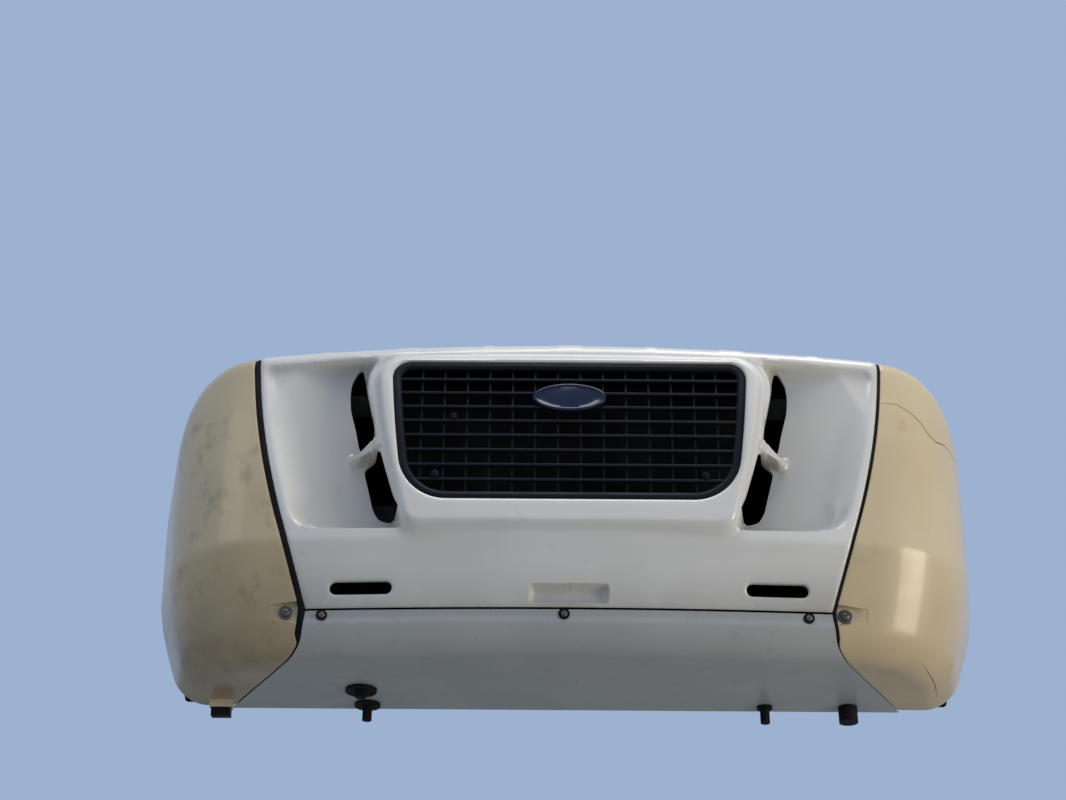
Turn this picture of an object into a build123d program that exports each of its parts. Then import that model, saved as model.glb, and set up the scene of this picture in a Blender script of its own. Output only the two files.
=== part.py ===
"""Nose-mounted refrigeration unit of an insulated truck body, in millimetres.

The wall of the truck body is the plane y = 0. The covers stand in front of it, towards -Y, and the
evaporator reaches through the wall, towards +Y. +Z is up. The origin is the centre of the four main
mounting holes.
"""
from build123d import *

import math
import os

os.makedirs("parts", exist_ok=True)

# Covers: outer skin
skin = 6.0
wall_flare = 14.6
bow_radius = 6150.0
corner_radius = 270.0
# Plan sections of the skin. Columns: level at the wall, tilt, depth at the centre, half width at the wall
upper_sections = ((430.0, 0.0, 411.0, 962.0), (225.0, 0.0, 441.0, 969.0), (150.0, 1.5, 447.0, 971.0),
                  (70.0, 3.0, 450.0, 971.0), (-150.0, 7.0, 450.0, 970.0))
lower_sections = ((-150.0, 7.0, 450.0, 970.0), (-205.0, 5.0, 423.0, 960.0), (-255.0, 3.0, 402.0, 946.0),
                  (-300.0, 2.0, 388.0, 931.0), (-405.0, 0.0, 366.0, 893.0))
crown_z, crown_edge_x, crown_edge_z = 383.0, 745.0, 362.0
top_corner_radius = 200.0
top_corner_angle = 62.0
bend_y, bend_z, bottom_wall_z = 381.0, -327.0, -378.0
bend_radius = 24.0
# Rolled edges of the skin. Columns: lowest and highest level, radius, angle turned, facets cut in pairs
rolled_edges = ((200.0, 400.0, 34.0, 82.0, True), (-400.0, -310.0, bend_radius, 80.0, True),
                (-151.0, -90.0, 60.0, 24.0, False))
section_length = 1300.0

# Seams between the front cover, the doors and the lower panel, right half seen from the front
seam_top_x, seam_top_z = 709.0, 330.0
seam_mid_x, seam_mid_z = 680.0, 128.0
seam_low_x, seam_low_z = 626.0, -75.0
chin_seam_x, chin_seam_z = 578.0, -240.0
panel_side_x = 588.0
panel_back_x = 783.0
panel_back_y = 6.0
chin_gap = 6.0
door_gap = {"left": 15.0, "right": 8.0}
door_back_y = 22.0

# Front cover: hinge line, grille surround, scoops
hinge_y, hinge_z = 300.0, 389.0
hinge_gap = 3.0
surround_y = 466.0
surround_depth = 118.0
lean_z, lean_radius = 100.0, 1000.0
surround_top_z, surround_bottom_z = 341.0, -72.0
surround_top_x, surround_mid_x, surround_bottom_x = 440.0, 423.0, 359.0
opening_top_z, opening_bottom_z = 325.0, -13.0
opening_top_x, opening_mid_x, opening_bottom_x = 402.0, 389.0, 366.0
opening_top_radius, opening_bottom_radius = 42.0, 108.0
lip_depth = 18.0
surround_edge = 14.0
scoop_top_z, scoop_bottom_z = 328.0, -76.0
scoop_top_x, scoop_mid_x, scoop_bottom_x = 684.0, 654.0, 580.0
scoop_floor_inner, scoop_floor_outer = 350.0, 396.0
scoop_liner = 5.0
# Slots beside the surround, right half. Columns: inner top, outer top, outer middle, outer bottom, inner bottom
scoop_slots = (((400.0, 335.0), (474.0, 335.0), (499.0, 233.0), (476.0, 138.0), (400.0, 190.0)),
               ((400.0, 137.0), (461.0, 80.0), (448.0, 18.0), (416.0, -37.0), (350.0, -48.0)))
# Fin between the slots: its outline seen from the front, and how far its front stands from the wall
fin_outline = ((410.0, 162.0), (503.0, 110.0), (503.0, 88.0), (410.0, 118.0))
fin_back_y, fin_inner_y, fin_outer_y = 345.0, 446.0, 392.0
chin_slot_x, chin_slot_z, chin_slot_length, chin_slot_height = 457.0, -198.0, 138.0, 28.0
grip_width, grip_height, grip_z, grip_floor_y = 176.0, 42.0, -212.0, 388.0
# Raised ribs on the top edge. Columns: centre, width
top_ribs = ((0.0, 55.0), (-372.0, 55.0), (372.0, 55.0), (-187.0, 20.0), (187.0, 20.0), (-560.0, 20.0),
            (560.0, 20.0))
rib_height = 3.0

# Grille
bar_count, bar_pitch, bar_height, bar_depth = 8, 35.0, 9.0, 16.0
first_bar_z = 279.0
upright_pitch, upright_width, upright_depth = 51.0, 6.0, 8.0
grille_frame = 20.0

# Doors
door_hinge_x, door_hinge_y = 925.0, 60.0
door_hinge_levels = (120.0, -120.0)
latch_x, latch_z = 613.0, -247.0

# Fixed structure
plate = 8.0
plate_half = 895.0
bolt_x, bolt_z, bolt_radius = 700.0, 300.0, 7.5
aperture_x, aperture_low, aperture_high = 600.0, -150.0, 230.0
post_x, tube = 640.0, 40.0
rail_low_z, rail_high_z = -270.0, 300.0

# Air side
coil_half, coil_low, coil_high, coil_front, coil_back = 395.0, -28.0, 302.0, 343.0, 290.0
outlet_y, outlet_radius = 150.0, 118.0
evaporator_half, evaporator_back, evaporator_sheet = 560.0, 270.0, 4.0
fan_x, fan_z, fan_radius = 270.0, 80.0, 122.0


def plan_outline(depth, half_width, inset):
    """Points of the right half of a plan section, from the wall to the middle of the front."""
    flare = math.radians(wall_flare)
    bow, corner = bow_radius - inset, corner_radius - inset
    side = half_width - inset / math.cos(flare)
    bow_y = bow_radius - depth
    inward = Vector(-math.cos(flare), math.sin(flare))
    forward = Vector(-math.sin(flare), -math.cos(flare))
    start = Vector(side, 0) + inward * corner
    reach = start - Vector(0, bow_y)
    along = reach.dot(forward)
    centre = start + forward * (-along + math.sqrt(along**2 - reach.dot(reach) + (bow - corner) ** 2))
    outward = (centre - Vector(0, bow_y)).normalized()
    side_end = centre - inward * corner
    bow_end = centre + outward * corner
    corner_mid = centre + (outward - inward).normalized() * corner
    return Vector(side, 0), side_end, corner_mid, bow_end, Vector(0, inset - depth)


def skin_body(inset):
    """Solid inside the skin, a given distance in from its outer face."""
    with BuildPart() as body:
        for table in (upper_sections, lower_sections):
            for level, tilt, depth, half_width in table:
                side, side_end, corner_mid, bow_end, front = plan_outline(depth, half_width, inset)
                across = [Vector(-p.X, p.Y) for p in (side, side_end, corner_mid, bow_end)]
                normal = (0, math.sin(math.radians(tilt)), math.cos(math.radians(tilt)))
                with BuildSketch(Plane((0, 0, level), (1, 0, 0), normal)):
                    with BuildLine():
                        Line(side, side_end)
                        ThreePointArc(side_end, corner_mid, bow_end)
                        ThreePointArc(bow_end, front, across[3])
                        ThreePointArc(across[3], across[2], across[1])
                        Line(across[1], across[0])
                        Line(across[0], side)
                    make_face()
            loft(ruled=True)
        with BuildSketch(Plane.XZ):
            with BuildLine():
                crown_end = Vector(crown_edge_x, crown_edge_z - inset)
                crown = ThreePointArc((-crown_end.X, crown_end.Y), (0, crown_z - inset), crown_end)
                corner = JernArc(crown @ 1, crown % 1, top_corner_radius - inset, -top_corner_angle)
                reach = corner @ 1 + (corner % 1) * 150
                Polyline(corner @ 1, reach, (reach.X, -500), (-reach.X, -500), (-reach.X, reach.Y),
                         (-(corner @ 1).X, (corner @ 1).Y))
                ThreePointArc((-(corner @ 1).X, (corner @ 1).Y), (-(corner @ 0.5).X, (corner @ 0.5).Y),
                              crown @ 0)
            make_face()
        extrude(amount=600, both=True, mode=Mode.INTERSECT)
        slope = (bend_z - bottom_wall_z) / bend_y
        with BuildSketch(Plane.YZ):
            with BuildLine():
                Polyline((-600, bend_z + inset + slope * (600 - bend_y)), (0, bottom_wall_z + inset),
                         (0, 500), (-600, 500), close=True)
            make_face()
        extrude(amount=1200, both=True, mode=Mode.INTERSECT)
        for low, high, radius, turn, paired in rolled_edges:
            chamfer(crease_edges(body, low, high), setback(radius - inset, turn))
            if paired and inset <= skin:
                cut = body.edges(Select.LAST).filter_by(long_edge)
                chamfer(cut, setback(radius - inset, turn / 2))
    return body.part


def setback(radius, turn):
    """Chamfer length whose facet touches an arc of that radius that turns by an angle."""
    half = math.radians(turn / 2)
    return radius * (1 / math.cos(half) - 1) / math.sin(half)


def crease_edges(body, low, high):
    """Edges of the skin that run round it between two levels, without the joins inside its faces."""
    levels = [row[0] for row in upper_sections]

    def runs_round(edge):
        size, centre = edge.bounding_box().size, edge.center()
        across = size.X < 1 and size.Z < 1 and abs(centre.X) < 940
        upright = size.Z > 25 and size.Z > size.X * 1.2
        section = size.Z < 1 and min(abs(centre.Z - level) for level in levels[:-1]) < 2
        return low < centre.Z < high and centre.Y < -1 and not (across or upright or section)
    return body.edges().filter_by(runs_round)


def long_edge(edge):
    """Whether an edge runs along a chamfer, and isn't one of its short ends or on the wall."""
    size = edge.bounding_box().size
    end = size.X < 1 and size.Z < 40 and size.Y < 40
    return edge.length > 30 and not end and abs(edge.center().Y) > 0.01


def seam_region(grow, low_z=chin_seam_z, top_z=500.0):
    """Face inside the cover seams, seen from the front, widened by a distance on each side."""
    with BuildSketch(Plane.XZ, mode=Mode.PRIVATE) as region:
        with BuildLine():
            foot = Line((chin_seam_x + grow, low_z), (seam_low_x + grow, seam_low_z))
            flank = ThreePointArc(foot @ 1, (seam_mid_x + grow, seam_mid_z), (seam_top_x + grow, seam_top_z))
            Polyline(flank @ 1, (seam_top_x + grow, top_z), (0, top_z), (0, low_z), foot @ 0)
        make_face()
        mirror(about=Plane.YZ)
    return region.sketch


def panel_space(grow, panel_top_z):
    """Solid that holds the lower panel: as wide as the cover's foot in front, widening to the wall below."""
    with BuildPart() as space:
        with BuildSketch(Plane.XZ):
            with BuildLine():
                Polyline((0, panel_top_z), (chin_seam_x + grow, panel_top_z),
                         (panel_side_x + grow, bend_z + bend_radius), (panel_back_x + grow, bend_z + bend_radius),
                         (panel_back_x + grow, -500), (0, -500), close=True)
            make_face()
            mirror(about=Plane.YZ)
        extrude(amount=600)
        with BuildSketch(Plane.XY):
            with BuildLine():
                Polyline((0, 5), (panel_back_x + grow, 5), (panel_back_x + grow, 0),
                         (panel_side_x + grow + 14, -bend_y + 42), (panel_side_x + grow, -bend_y),
                         (panel_side_x + grow, -600), (0, -600), close=True)
            make_face()
            mirror(about=Plane.YZ)
        extrude(amount=-600, mode=Mode.INTERSECT)
    return space.part


outer = skin_body(0)
inner = skin_body(skin)
with BuildPart() as shell:
    add(outer)
    add(inner, mode=Mode.SUBTRACT)

# Lower panel: upright front, bend and floor
with BuildPart() as lower_panel:
    add(shell.part)
    add(panel_space(0, chin_seam_z - chin_gap), mode=Mode.INTERSECT)
    with Locations((0, -panel_back_y - 300, 0)):
        Box(2000, 600, 1000, mode=Mode.INTERSECT)
lower_panel.part.label = "lower_panel"


def surround_face(grow):
    """Outline of the raised frame round the grille."""
    with BuildSketch(Plane.XZ, mode=Mode.PRIVATE) as face:
        with BuildLine():
            side = ThreePointArc((surround_top_x, surround_top_z), (surround_mid_x, 185),
                                 (surround_bottom_x, surround_bottom_z))
            Polyline(side @ 0, (-surround_top_x, surround_top_z))
            ThreePointArc((-surround_top_x, surround_top_z), (-surround_mid_x, 185),
                          (-surround_bottom_x, surround_bottom_z))
            Polyline((-surround_bottom_x, surround_bottom_z), side @ 1)
        make_face()
        fillet(face.vertices().group_by(Axis.Y)[-1], 62)
        fillet(face.vertices().group_by(Axis.Y)[0], 40)
        if grow:
            offset(amount=grow)
    return face.sketch


def front_face(face):
    """Whether a face looks forward, as the face round the grille does, its leaning part included."""
    return face.normal_at().Y < -0.9


def opening_face(grow):
    """Outline of the grille opening."""
    with BuildSketch(Plane.XZ, mode=Mode.PRIVATE) as face:
        with BuildLine():
            side = ThreePointArc((opening_top_x, opening_top_z), (opening_mid_x, 160),
                                 (opening_bottom_x, opening_bottom_z))
            Polyline(side @ 0, (-opening_top_x, opening_top_z))
            ThreePointArc((-opening_top_x, opening_top_z), (-opening_mid_x, 160),
                          (-opening_bottom_x, opening_bottom_z))
            Polyline((-opening_bottom_x, opening_bottom_z), side @ 1)
        make_face()
        fillet(face.vertices().group_by(Axis.Y)[-1], opening_top_radius)
        fillet(face.vertices().group_by(Axis.Y)[0], opening_bottom_radius)
        if grow:
            offset(amount=grow)
    return face.sketch


def behind_front(front):
    """Solid from the wall to a front face that stands upright and leans back in an arc near its top."""
    with BuildPart() as block:
        with BuildSketch(Plane.YZ.offset(-section_length / 2)):
            with BuildLine():
                arc = JernArc((-front, lean_z), (0, 1), lean_radius, -16)
                Polyline(arc @ 1, (0, (arc @ 1).Y), (0, -150), (-front, -150), arc @ 0)
            make_face()
        extrude(amount=section_length)
    return block.part


def scoop_pocket(grow):
    """Right scoop as a solid: its outline cut straight in, down to its sloping floor."""
    slope = (scoop_floor_outer - scoop_floor_inner) / (scoop_top_x - surround_top_x)
    floor_in, floor_out = scoop_floor_inner - grow, scoop_floor_outer - grow
    with BuildPart() as pocket:
        with BuildSketch(Plane.XZ) as outline:
            with BuildLine():
                Polyline((scoop_bottom_x, scoop_bottom_z), (300, scoop_bottom_z), (300, scoop_top_z),
                         (scoop_top_x, scoop_top_z))
                ThreePointArc((scoop_top_x, scoop_top_z), (scoop_mid_x, 128), (scoop_bottom_x, scoop_bottom_z))
            make_face()
            fillet(outline.vertices().group_by(Axis.Y)[0].sort_by(Axis.X)[-1], 62)
            fillet(outline.vertices().group_by(Axis.Y)[-1].sort_by(Axis.X)[-1], 26)
            if grow:
                offset(amount=grow)
        extrude(amount=600)
        with BuildSketch(Plane.XY):
            with BuildLine():
                Polyline((200, -floor_in), (surround_top_x, -floor_in), (scoop_top_x, -floor_out),
                         (scoop_top_x + 100, -floor_out - 100 * slope), (scoop_top_x + 100, -600), (200, -600),
                         close=True)
            make_face()
        extrude(amount=500, both=True, mode=Mode.INTERSECT)
    return pocket.part


# Front cover: skin, raised surround, scoops with their slots, chin slots, grip recess
with BuildPart() as scoops:
    add(scoop_pocket(0))
    with BuildSketch(Plane.XZ):
        add(surround_face(-3))
    extrude(amount=600, mode=Mode.SUBTRACT)
    mirror(about=Plane.YZ)
with BuildPart() as scoop_liners:
    add(scoop_pocket(scoop_liner))
    with BuildSketch(Plane.XZ):
        add(surround_face(-3))
    extrude(amount=600, mode=Mode.SUBTRACT)
    with BuildSketch(Plane.XZ):
        for inner_top, top, middle, bottom, inner_bottom in scoop_slots:
            with BuildLine():
                outer_side = ThreePointArc(top, middle, bottom)
                Polyline(outer_side @ 1, inner_bottom, inner_top, outer_side @ 0)
            make_face()
    extrude(amount=600, mode=Mode.SUBTRACT)
    mirror(about=Plane.YZ)
with BuildPart() as fins:
    with BuildSketch(Plane.XZ.offset(fin_back_y)):
        with BuildLine():
            Polyline(fin_outline, close=True)
        make_face()
    extrude(amount=120)
    with BuildSketch(Plane.XY):
        with BuildLine():
            Polyline((fin_outline[0][0], -fin_back_y), (fin_outline[0][0], -fin_inner_y),
                     (fin_outline[1][0], -fin_outer_y), (fin_outline[1][0], -fin_back_y), close=True)
        make_face()
    extrude(amount=300, both=True, mode=Mode.INTERSECT)
    with BuildSketch(Plane.XZ):
        add(surround_face(-3))
    extrude(amount=600, mode=Mode.SUBTRACT)
    mirror(about=Plane.YZ)
with BuildPart() as surround:
    with BuildSketch(Plane.XZ.offset(surround_y - surround_depth)):
        add(surround_face(0))
    extrude(amount=surround_depth + 20)
    add(behind_front(surround_y), mode=Mode.INTERSECT)
    fillet(surround.faces().filter_by(front_face).edges(), surround_edge)
    with BuildSketch(Plane.XZ.offset(surround_y - surround_depth)):
        add(opening_face(0))
    extrude(amount=surround_depth + 20, mode=Mode.SUBTRACT)
with BuildPart() as surround_hollows:
    with BuildSketch(Plane.XZ.offset(surround_y - surround_depth - 1)):
        add(surround_face(-skin))
        add(opening_face(skin), mode=Mode.SUBTRACT)
    extrude(amount=surround_depth)
    add(behind_front(surround_y - skin), mode=Mode.INTERSECT)
with BuildPart() as lip_space:
    with BuildSketch(Plane.XZ.offset(surround_y - surround_depth - 1)):
        add(opening_face(skin + 1))
    extrude(amount=surround_depth)
    add(behind_front(surround_y - lip_depth), mode=Mode.INTERSECT)
with BuildPart() as surround_frame:
    add(surround.part)
    add((surround_hollows.part, lip_space.part), mode=Mode.SUBTRACT)
with BuildPart() as liners_inside:
    add(scoop_liners.part)
    add(outer, mode=Mode.INTERSECT)
with BuildPart() as ribs:
    add(skin_body(-rib_height))
    with BuildSketch(Plane.XY.offset(350)):
        for centre, width in top_ribs:
            with Locations((centre, -hinge_y - 66)):
                Rectangle(width, 104)
    extrude(amount=60, mode=Mode.INTERSECT)
    add(inner, mode=Mode.SUBTRACT)
with BuildPart() as grip_liner:
    with BuildSketch(Plane.XZ.offset(grip_floor_y - skin)):
        with Locations((0, grip_z)):
            RectangleRounded(grip_width + 2 * skin, grip_height + 2 * skin, 12)
    extrude(amount=100)
    add(outer, mode=Mode.INTERSECT)
with BuildPart() as grip_cup:
    add(grip_liner.part)
    with BuildSketch(Plane.XZ.offset(grip_floor_y)):
        with Locations((0, grip_z)):
            RectangleRounded(grip_width, grip_height, 8)
    extrude(amount=100, mode=Mode.SUBTRACT)
with BuildPart() as scoop_linings:
    add(liners_inside.part)
    add(scoops.part, mode=Mode.SUBTRACT)
with BuildPart() as cover_cuts:
    with BuildSketch(Plane.XZ.offset(hinge_y)):
        add(surround_face(-1))
        with Locations((chin_slot_x, chin_slot_z), (-chin_slot_x, chin_slot_z)):
            SlotOverall(chin_slot_length, chin_slot_height)
        with Locations((0, grip_z)):
            RectangleRounded(grip_width, grip_height, 8)
    extrude(amount=300)
    add(scoops.part)
with BuildPart() as front_cover:
    add(shell.part)
    with BuildSketch(Plane.XZ.offset(hinge_y + hinge_gap)):
        add(seam_region(0))
    extrude(amount=300, mode=Mode.INTERSECT)
    add(cover_cuts.part, mode=Mode.SUBTRACT)
    add((ribs.part, surround_frame.part, scoop_linings.part, fins.part, grip_cup.part))
front_cover.part.label = "front_cover"

# Grille: frame seated behind the lip, bars and uprights
frame_front, frame_back = surround_y - 5, surround_y - lip_depth - 5
flange = 5.0
bars_front = frame_front - 4
with BuildPart() as bars:
    for i in range(bar_count):
        level = first_bar_z - i * bar_pitch
        rise = max(0.0, level - lean_z)
        lean = lean_radius - math.sqrt(lean_radius**2 - rise**2)
        with BuildSketch(Plane.XZ.offset(bars_front - lean - bar_depth)):
            with Locations((0, level)):
                Rectangle(900, bar_height)
        extrude(amount=bar_depth)
    with BuildSketch(Plane.XZ.offset(300)):
        with GridLocations(upright_pitch, 1, 15, 1):
            Rectangle(upright_width, 900)
        add(opening_face(-grille_frame + 2), mode=Mode.INTERSECT)
    extrude(amount=200)
    add(behind_front(bars_front - 2), mode=Mode.INTERSECT)
    add(behind_front(bars_front - 2 - upright_depth), mode=Mode.SUBTRACT)
    with BuildSketch(Plane.XZ):
        add(opening_face(-grille_frame + 2))
    extrude(amount=600, mode=Mode.INTERSECT)
with BuildPart() as grille_rim:
    with BuildSketch(Plane.XZ.offset(300)):
        add(opening_face(-0.4))
        add(opening_face(-grille_frame), mode=Mode.SUBTRACT)
    extrude(amount=200)
    add(behind_front(frame_front), mode=Mode.INTERSECT)
    add(behind_front(frame_back + flange), mode=Mode.SUBTRACT)
with BuildPart() as grille_flange:
    with BuildSketch(Plane.XZ.offset(300)):
        add(opening_face(skin - 1))
        add(opening_face(-grille_frame), mode=Mode.SUBTRACT)
    extrude(amount=200)
    add(behind_front(frame_back + flange), mode=Mode.INTERSECT)
    add(behind_front(frame_back), mode=Mode.SUBTRACT)
with BuildPart() as grille:
    add(grille_rim.part)
    add(grille_flange.part)
    add(bars.part)
grille.part.label = "grille"

# Plain oval pad on the grille
badge_z, badge_tilt = 231.0, 7.5
badge_y = bars_front - lean_radius + math.sqrt(lean_radius**2 - (badge_z - lean_z) ** 2)
with BuildPart() as badge_pad:
    with BuildSketch(Plane((0, -badge_y, badge_z), (1, 0, 0), (0, -1, math.tan(math.radians(badge_tilt))))):
        Ellipse(82, 35)
    extrude(amount=9)
    chamfer(badge_pad.edges().group_by(Axis.Y)[0], 3)
badge_pad.part.label = "badge_pad"

for piece in (lower_panel, front_cover, grille, badge_pad):
    export_step(piece.part, "parts/" + piece.part.label + ".step")

# Doors: the skin outside the seams, with a latch recess each
recess_floor_y, recess_width, recess_height = 360.0, 70.0, 48.0
recess_wall, recess_floor, recess_depth = 6.0, 4.0, 40.0
for side, sign in (("left", -1), ("right", 1)):
    gap = door_gap[side]
    recess_x = chin_seam_x + gap + recess_width / 2
    with BuildPart() as recess:
        with Locations((sign * recess_x, -recess_floor_y + recess_floor - recess_depth / 2, latch_z)):
            Box(recess_width + 2 * recess_wall, recess_depth, recess_height + 2 * recess_wall)
        add(outer, mode=Mode.INTERSECT)
        with BuildSketch(Plane.XZ):
            add(seam_region(gap, low_z=-500))
        extrude(amount=600, mode=Mode.SUBTRACT)
    with BuildPart() as door:
        add(shell.part)
        with BuildSketch(Plane.XZ):
            add(seam_region(gap, low_z=chin_seam_z - 20))
        extrude(amount=600, mode=Mode.SUBTRACT)
        add(panel_space(gap, chin_seam_z), mode=Mode.SUBTRACT)
        with Locations((sign * 700, -door_back_y - 300, 0)):
            Box(1000, 600, 1000, mode=Mode.INTERSECT)
        add(recess.part)
        with Locations((sign * (recess_x - 10), -recess_floor_y - 50, latch_z)):
            Box(recess_width + 20, 100, recess_height, mode=Mode.SUBTRACT)
    door.part.label = side + "_door"
    export_step(door.part, "parts/" + door.part.label + ".step")

    # Quarter-turn latch: washer and slotted head
    with BuildPart() as latch:
        with BuildSketch(Plane.XZ.offset(recess_floor_y)):
            with Locations((sign * latch_x, latch_z)):
                Circle(21)
        extrude(amount=3)
        with BuildSketch(Plane.XZ.offset(recess_floor_y + 3)):
            with Locations((sign * latch_x, latch_z)):
                Circle(11)
                Rectangle(22, 3, mode=Mode.SUBTRACT)
        extrude(amount=7)
    latch.part.label = side + "_latch"
    export_step(latch.part, "parts/" + latch.part.label + ".step")

# Door hinges: bracket with pin on the mounting frame, leaf on the door
knuckle, pin_radius, pin_play = 10.0, 6.0, 0.3
with BuildPart() as brackets:
    for level in door_hinge_levels:
        with BuildSketch(Plane.XY.offset(level - 15)):
            with BuildLine():
                Polyline((828, -plate), (858, -plate), (858, -48), (door_hinge_x, -48), (door_hinge_x, -72),
                         (840, -72), (828, -60), close=True)
            make_face()
            with Locations((door_hinge_x, -door_hinge_y)):
                Circle(12)
        extrude(amount=30)
        with Locations((door_hinge_x, -door_hinge_y, level)):
            Cylinder(pin_radius, 62)
web_space = skin_body(skin + 5)
with BuildPart() as webs:
    for level in door_hinge_levels:
        with Locations((945, -98, level)):
            Box(70, 40, 55)
    add(web_space, mode=Mode.SUBTRACT)
with BuildPart() as leaves:
    for level in door_hinge_levels:
        for low in (15.5, -27.5):
            with BuildSketch(Plane.XY.offset(level + low)):
                with Locations((door_hinge_x, -door_hinge_y)):
                    Circle(12)
                with BuildLine():
                    Polyline((door_hinge_x, -48), (975, -48), (965, -118), (door_hinge_x + 6, -118),
                             (door_hinge_x - 8, -66), close=True)
                make_face()
            extrude(amount=12)
    add(webs.part)
    for level in door_hinge_levels:
        with Locations((door_hinge_x, -door_hinge_y, level)):
            Cylinder(pin_radius + pin_play, 80, mode=Mode.SUBTRACT)
for side, plane in (("right", None), ("left", Plane.YZ)):
    for name, body in (("_hinge_brackets", brackets), ("_hinge_leaves", leaves)):
        with BuildPart() as placed:
            if plane:
                mirror(body.part, about=plane)
            else:
                add(body.part)
            if body is leaves:
                add(inner, mode=Mode.INTERSECT)
        placed.part.label = side + name
        export_step(placed.part, "parts/" + placed.part.label + ".step")


# Space behind the skin that the moving covers leave free, and the roof sheet that lies in it
play = 6.0
roof_sheet = 4.0
roof_front, roof_back = 330.0, 4.0
under_skin = skin_body(skin + play)
under_roof = skin_body(skin + play + roof_sheet)
with BuildPart() as top_panel:
    add(under_skin)
    add(under_roof, mode=Mode.SUBTRACT)
    with Locations((0, -(roof_front + roof_back) / 2, 400)):
        Box(1520, roof_front - roof_back, 140, mode=Mode.INTERSECT)
    with BuildSketch(Plane.XY.offset(335)):
        with Locations((0, -outlet_y)):
            Circle(outlet_radius + 4)
    extrude(amount=35)
    add(under_skin, mode=Mode.INTERSECT)
    with BuildSketch(Plane.XY.offset(300)):
        with Locations((0, -outlet_y)):
            Circle(outlet_radius)
    extrude(amount=100, mode=Mode.SUBTRACT)
top_panel.part.label = "top_panel"

# Guard over the air outlet: rings and spokes of round wire
with BuildPart() as outlet_guard:
    for radius in (outlet_radius + 10, 92, 66, 40):
        with Locations((0, -outlet_y, 373)):
            Torus(radius, 2.2)
    for i in range(8):
        with Locations(Location((0, -outlet_y, 373), (0, 0, 22.5 + 45 * i))):
            with Locations((82, 0, 0)):
                Cylinder(2.0, 112, rotation=(0, 90, 0))
    with Locations((0, -outlet_y, 373)):
        Cylinder(30, 3)
outlet_guard.part.label = "outlet_guard"

# Seal posts: rubber strips behind the gaps between the cover and the doors
strip = 7.0
strip_inner, strip_outer = 12.0, 24.0
strip_back = skin_body(skin + play + strip)
for side, sign in (("left", -1), ("right", 1)):
    gap = door_gap[side]
    with BuildPart() as post_web:
        with BuildSketch(Plane.XZ.offset(310)):
            add(seam_region(gap / 2 + 4, low_z=-300, top_z=334))
            add(seam_region(gap / 2 - 4, low_z=-301, top_z=335), mode=Mode.SUBTRACT)
        extrude(amount=200)
        add(strip_back, mode=Mode.INTERSECT)
    with BuildPart() as seal_post:
        with BuildSketch(Plane.XZ.offset(roof_front + 3)):
            add(seam_region(gap + strip_outer, low_z=-345))
            add(seam_region(-strip_inner, low_z=-345), mode=Mode.SUBTRACT)
        extrude(amount=200)
        add(under_skin, mode=Mode.INTERSECT)
        add(strip_back, mode=Mode.SUBTRACT)
        add(post_web.part)
        with Locations((sign * 600, -350, 0)):
            Box(600, 400, 900, mode=Mode.INTERSECT)
        with Locations((sign * (chin_seam_x + 62), -400, latch_z)):
            Box(120, 100, recess_height + 38, mode=Mode.SUBTRACT)
    seal_post.part.label = side + "_seal_post"
    export_step(seal_post.part, "parts/" + seal_post.part.label + ".step")

# Mounting frame: flat ring plate against the wall, with its bolt holes
with BuildPart() as mounting_frame:
    add(under_roof)
    with Locations((0, -plate / 2, 0)):
        Box(2 * plate_half, plate, 1000, mode=Mode.INTERSECT)
    with BuildSketch(Plane.XZ):
        with Locations((0, (aperture_low + aperture_high) / 2)):
            Rectangle(2 * aperture_x, aperture_high - aperture_low)
    extrude(amount=plate, mode=Mode.SUBTRACT)
    with BuildSketch(Plane.XZ):
        with Locations([(x, z) for x in (-bolt_x, bolt_x) for z in (-bolt_z, bolt_z)]):
            Circle(bolt_radius)
        with Locations([(x, z) for x in (-350, 350) for z in (-bolt_z, bolt_z)]):
            Circle(bolt_radius)
    extrude(amount=plate, mode=Mode.SUBTRACT)
mounting_frame.part.label = "mounting_frame"

# Carrying frame of folded sheet: posts, the rails that join them, and arms back to the mounting frame
rail_back, rail_front = 275.0, 310.0
rail_y = -(rail_back + rail_front) / 2
arm_y, arm_length = -(plate + rail_back) / 2, rail_back - plate
post_low, post_high = -250.0, 305.0
with BuildPart() as frame_posts:
    for x in (-post_x, post_x):
        with Locations((x, rail_y, (post_low + post_high) / 2)):
            Box(tube, rail_front - rail_back, post_high - post_low)
    for x in (-375, 375):
        with Locations((x, -275, (post_low + post_high) / 2)):
            Box(tube, 30, post_high - post_low)
    add(under_roof, mode=Mode.INTERSECT)
frame_posts.part.label = "frame_posts"
with BuildPart() as frame_rails:
    for level, height, length in ((332, 54, 1440), (-275, 50, 1320)):
        with Locations((0, rail_y, level)):
            Box(length, rail_front - rail_back, height)
    with Locations((0, -365, -275)):
        Box(1100, 60, 50)
    add(under_roof, mode=Mode.INTERSECT)
frame_rails.part.label = "frame_rails"
with BuildPart() as frame_arms:
    for x in (-post_x, 0, post_x):
        with Locations((x, arm_y, 308)):
            Box(tube, arm_length, 14)
    for x in (-post_x, -520, -150, 150, 520, post_x):
        with Locations((x, arm_y, -275)):
            Box(tube, arm_length, 50)
    add(under_roof, mode=Mode.INTERSECT)
frame_arms.part.label = "frame_arms"

# Condenser coil behind the grille
with BuildPart() as condenser_coil:
    with Locations((0, -(coil_front + coil_back) / 2, (coil_low + coil_high) / 2)):
        Box(2 * coil_half, coil_front - coil_back, coil_high - coil_low)
condenser_coil.part.label = "condenser_coil"

# Engine and compressor: plain masses at their size and place
with BuildPart() as engine_block:
    with Locations((-345, -150, -105)):
        Box(390, 210, 290)
    chamfer(engine_block.edges().filter_by(Axis.Z), 20)
engine_block.part.label = "engine_block"
with BuildPart() as compressor:
    with Locations((240, -150, -165)):
        Cylinder(85, 340, rotation=(0, 90, 0))
compressor.part.label = "compressor"

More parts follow.
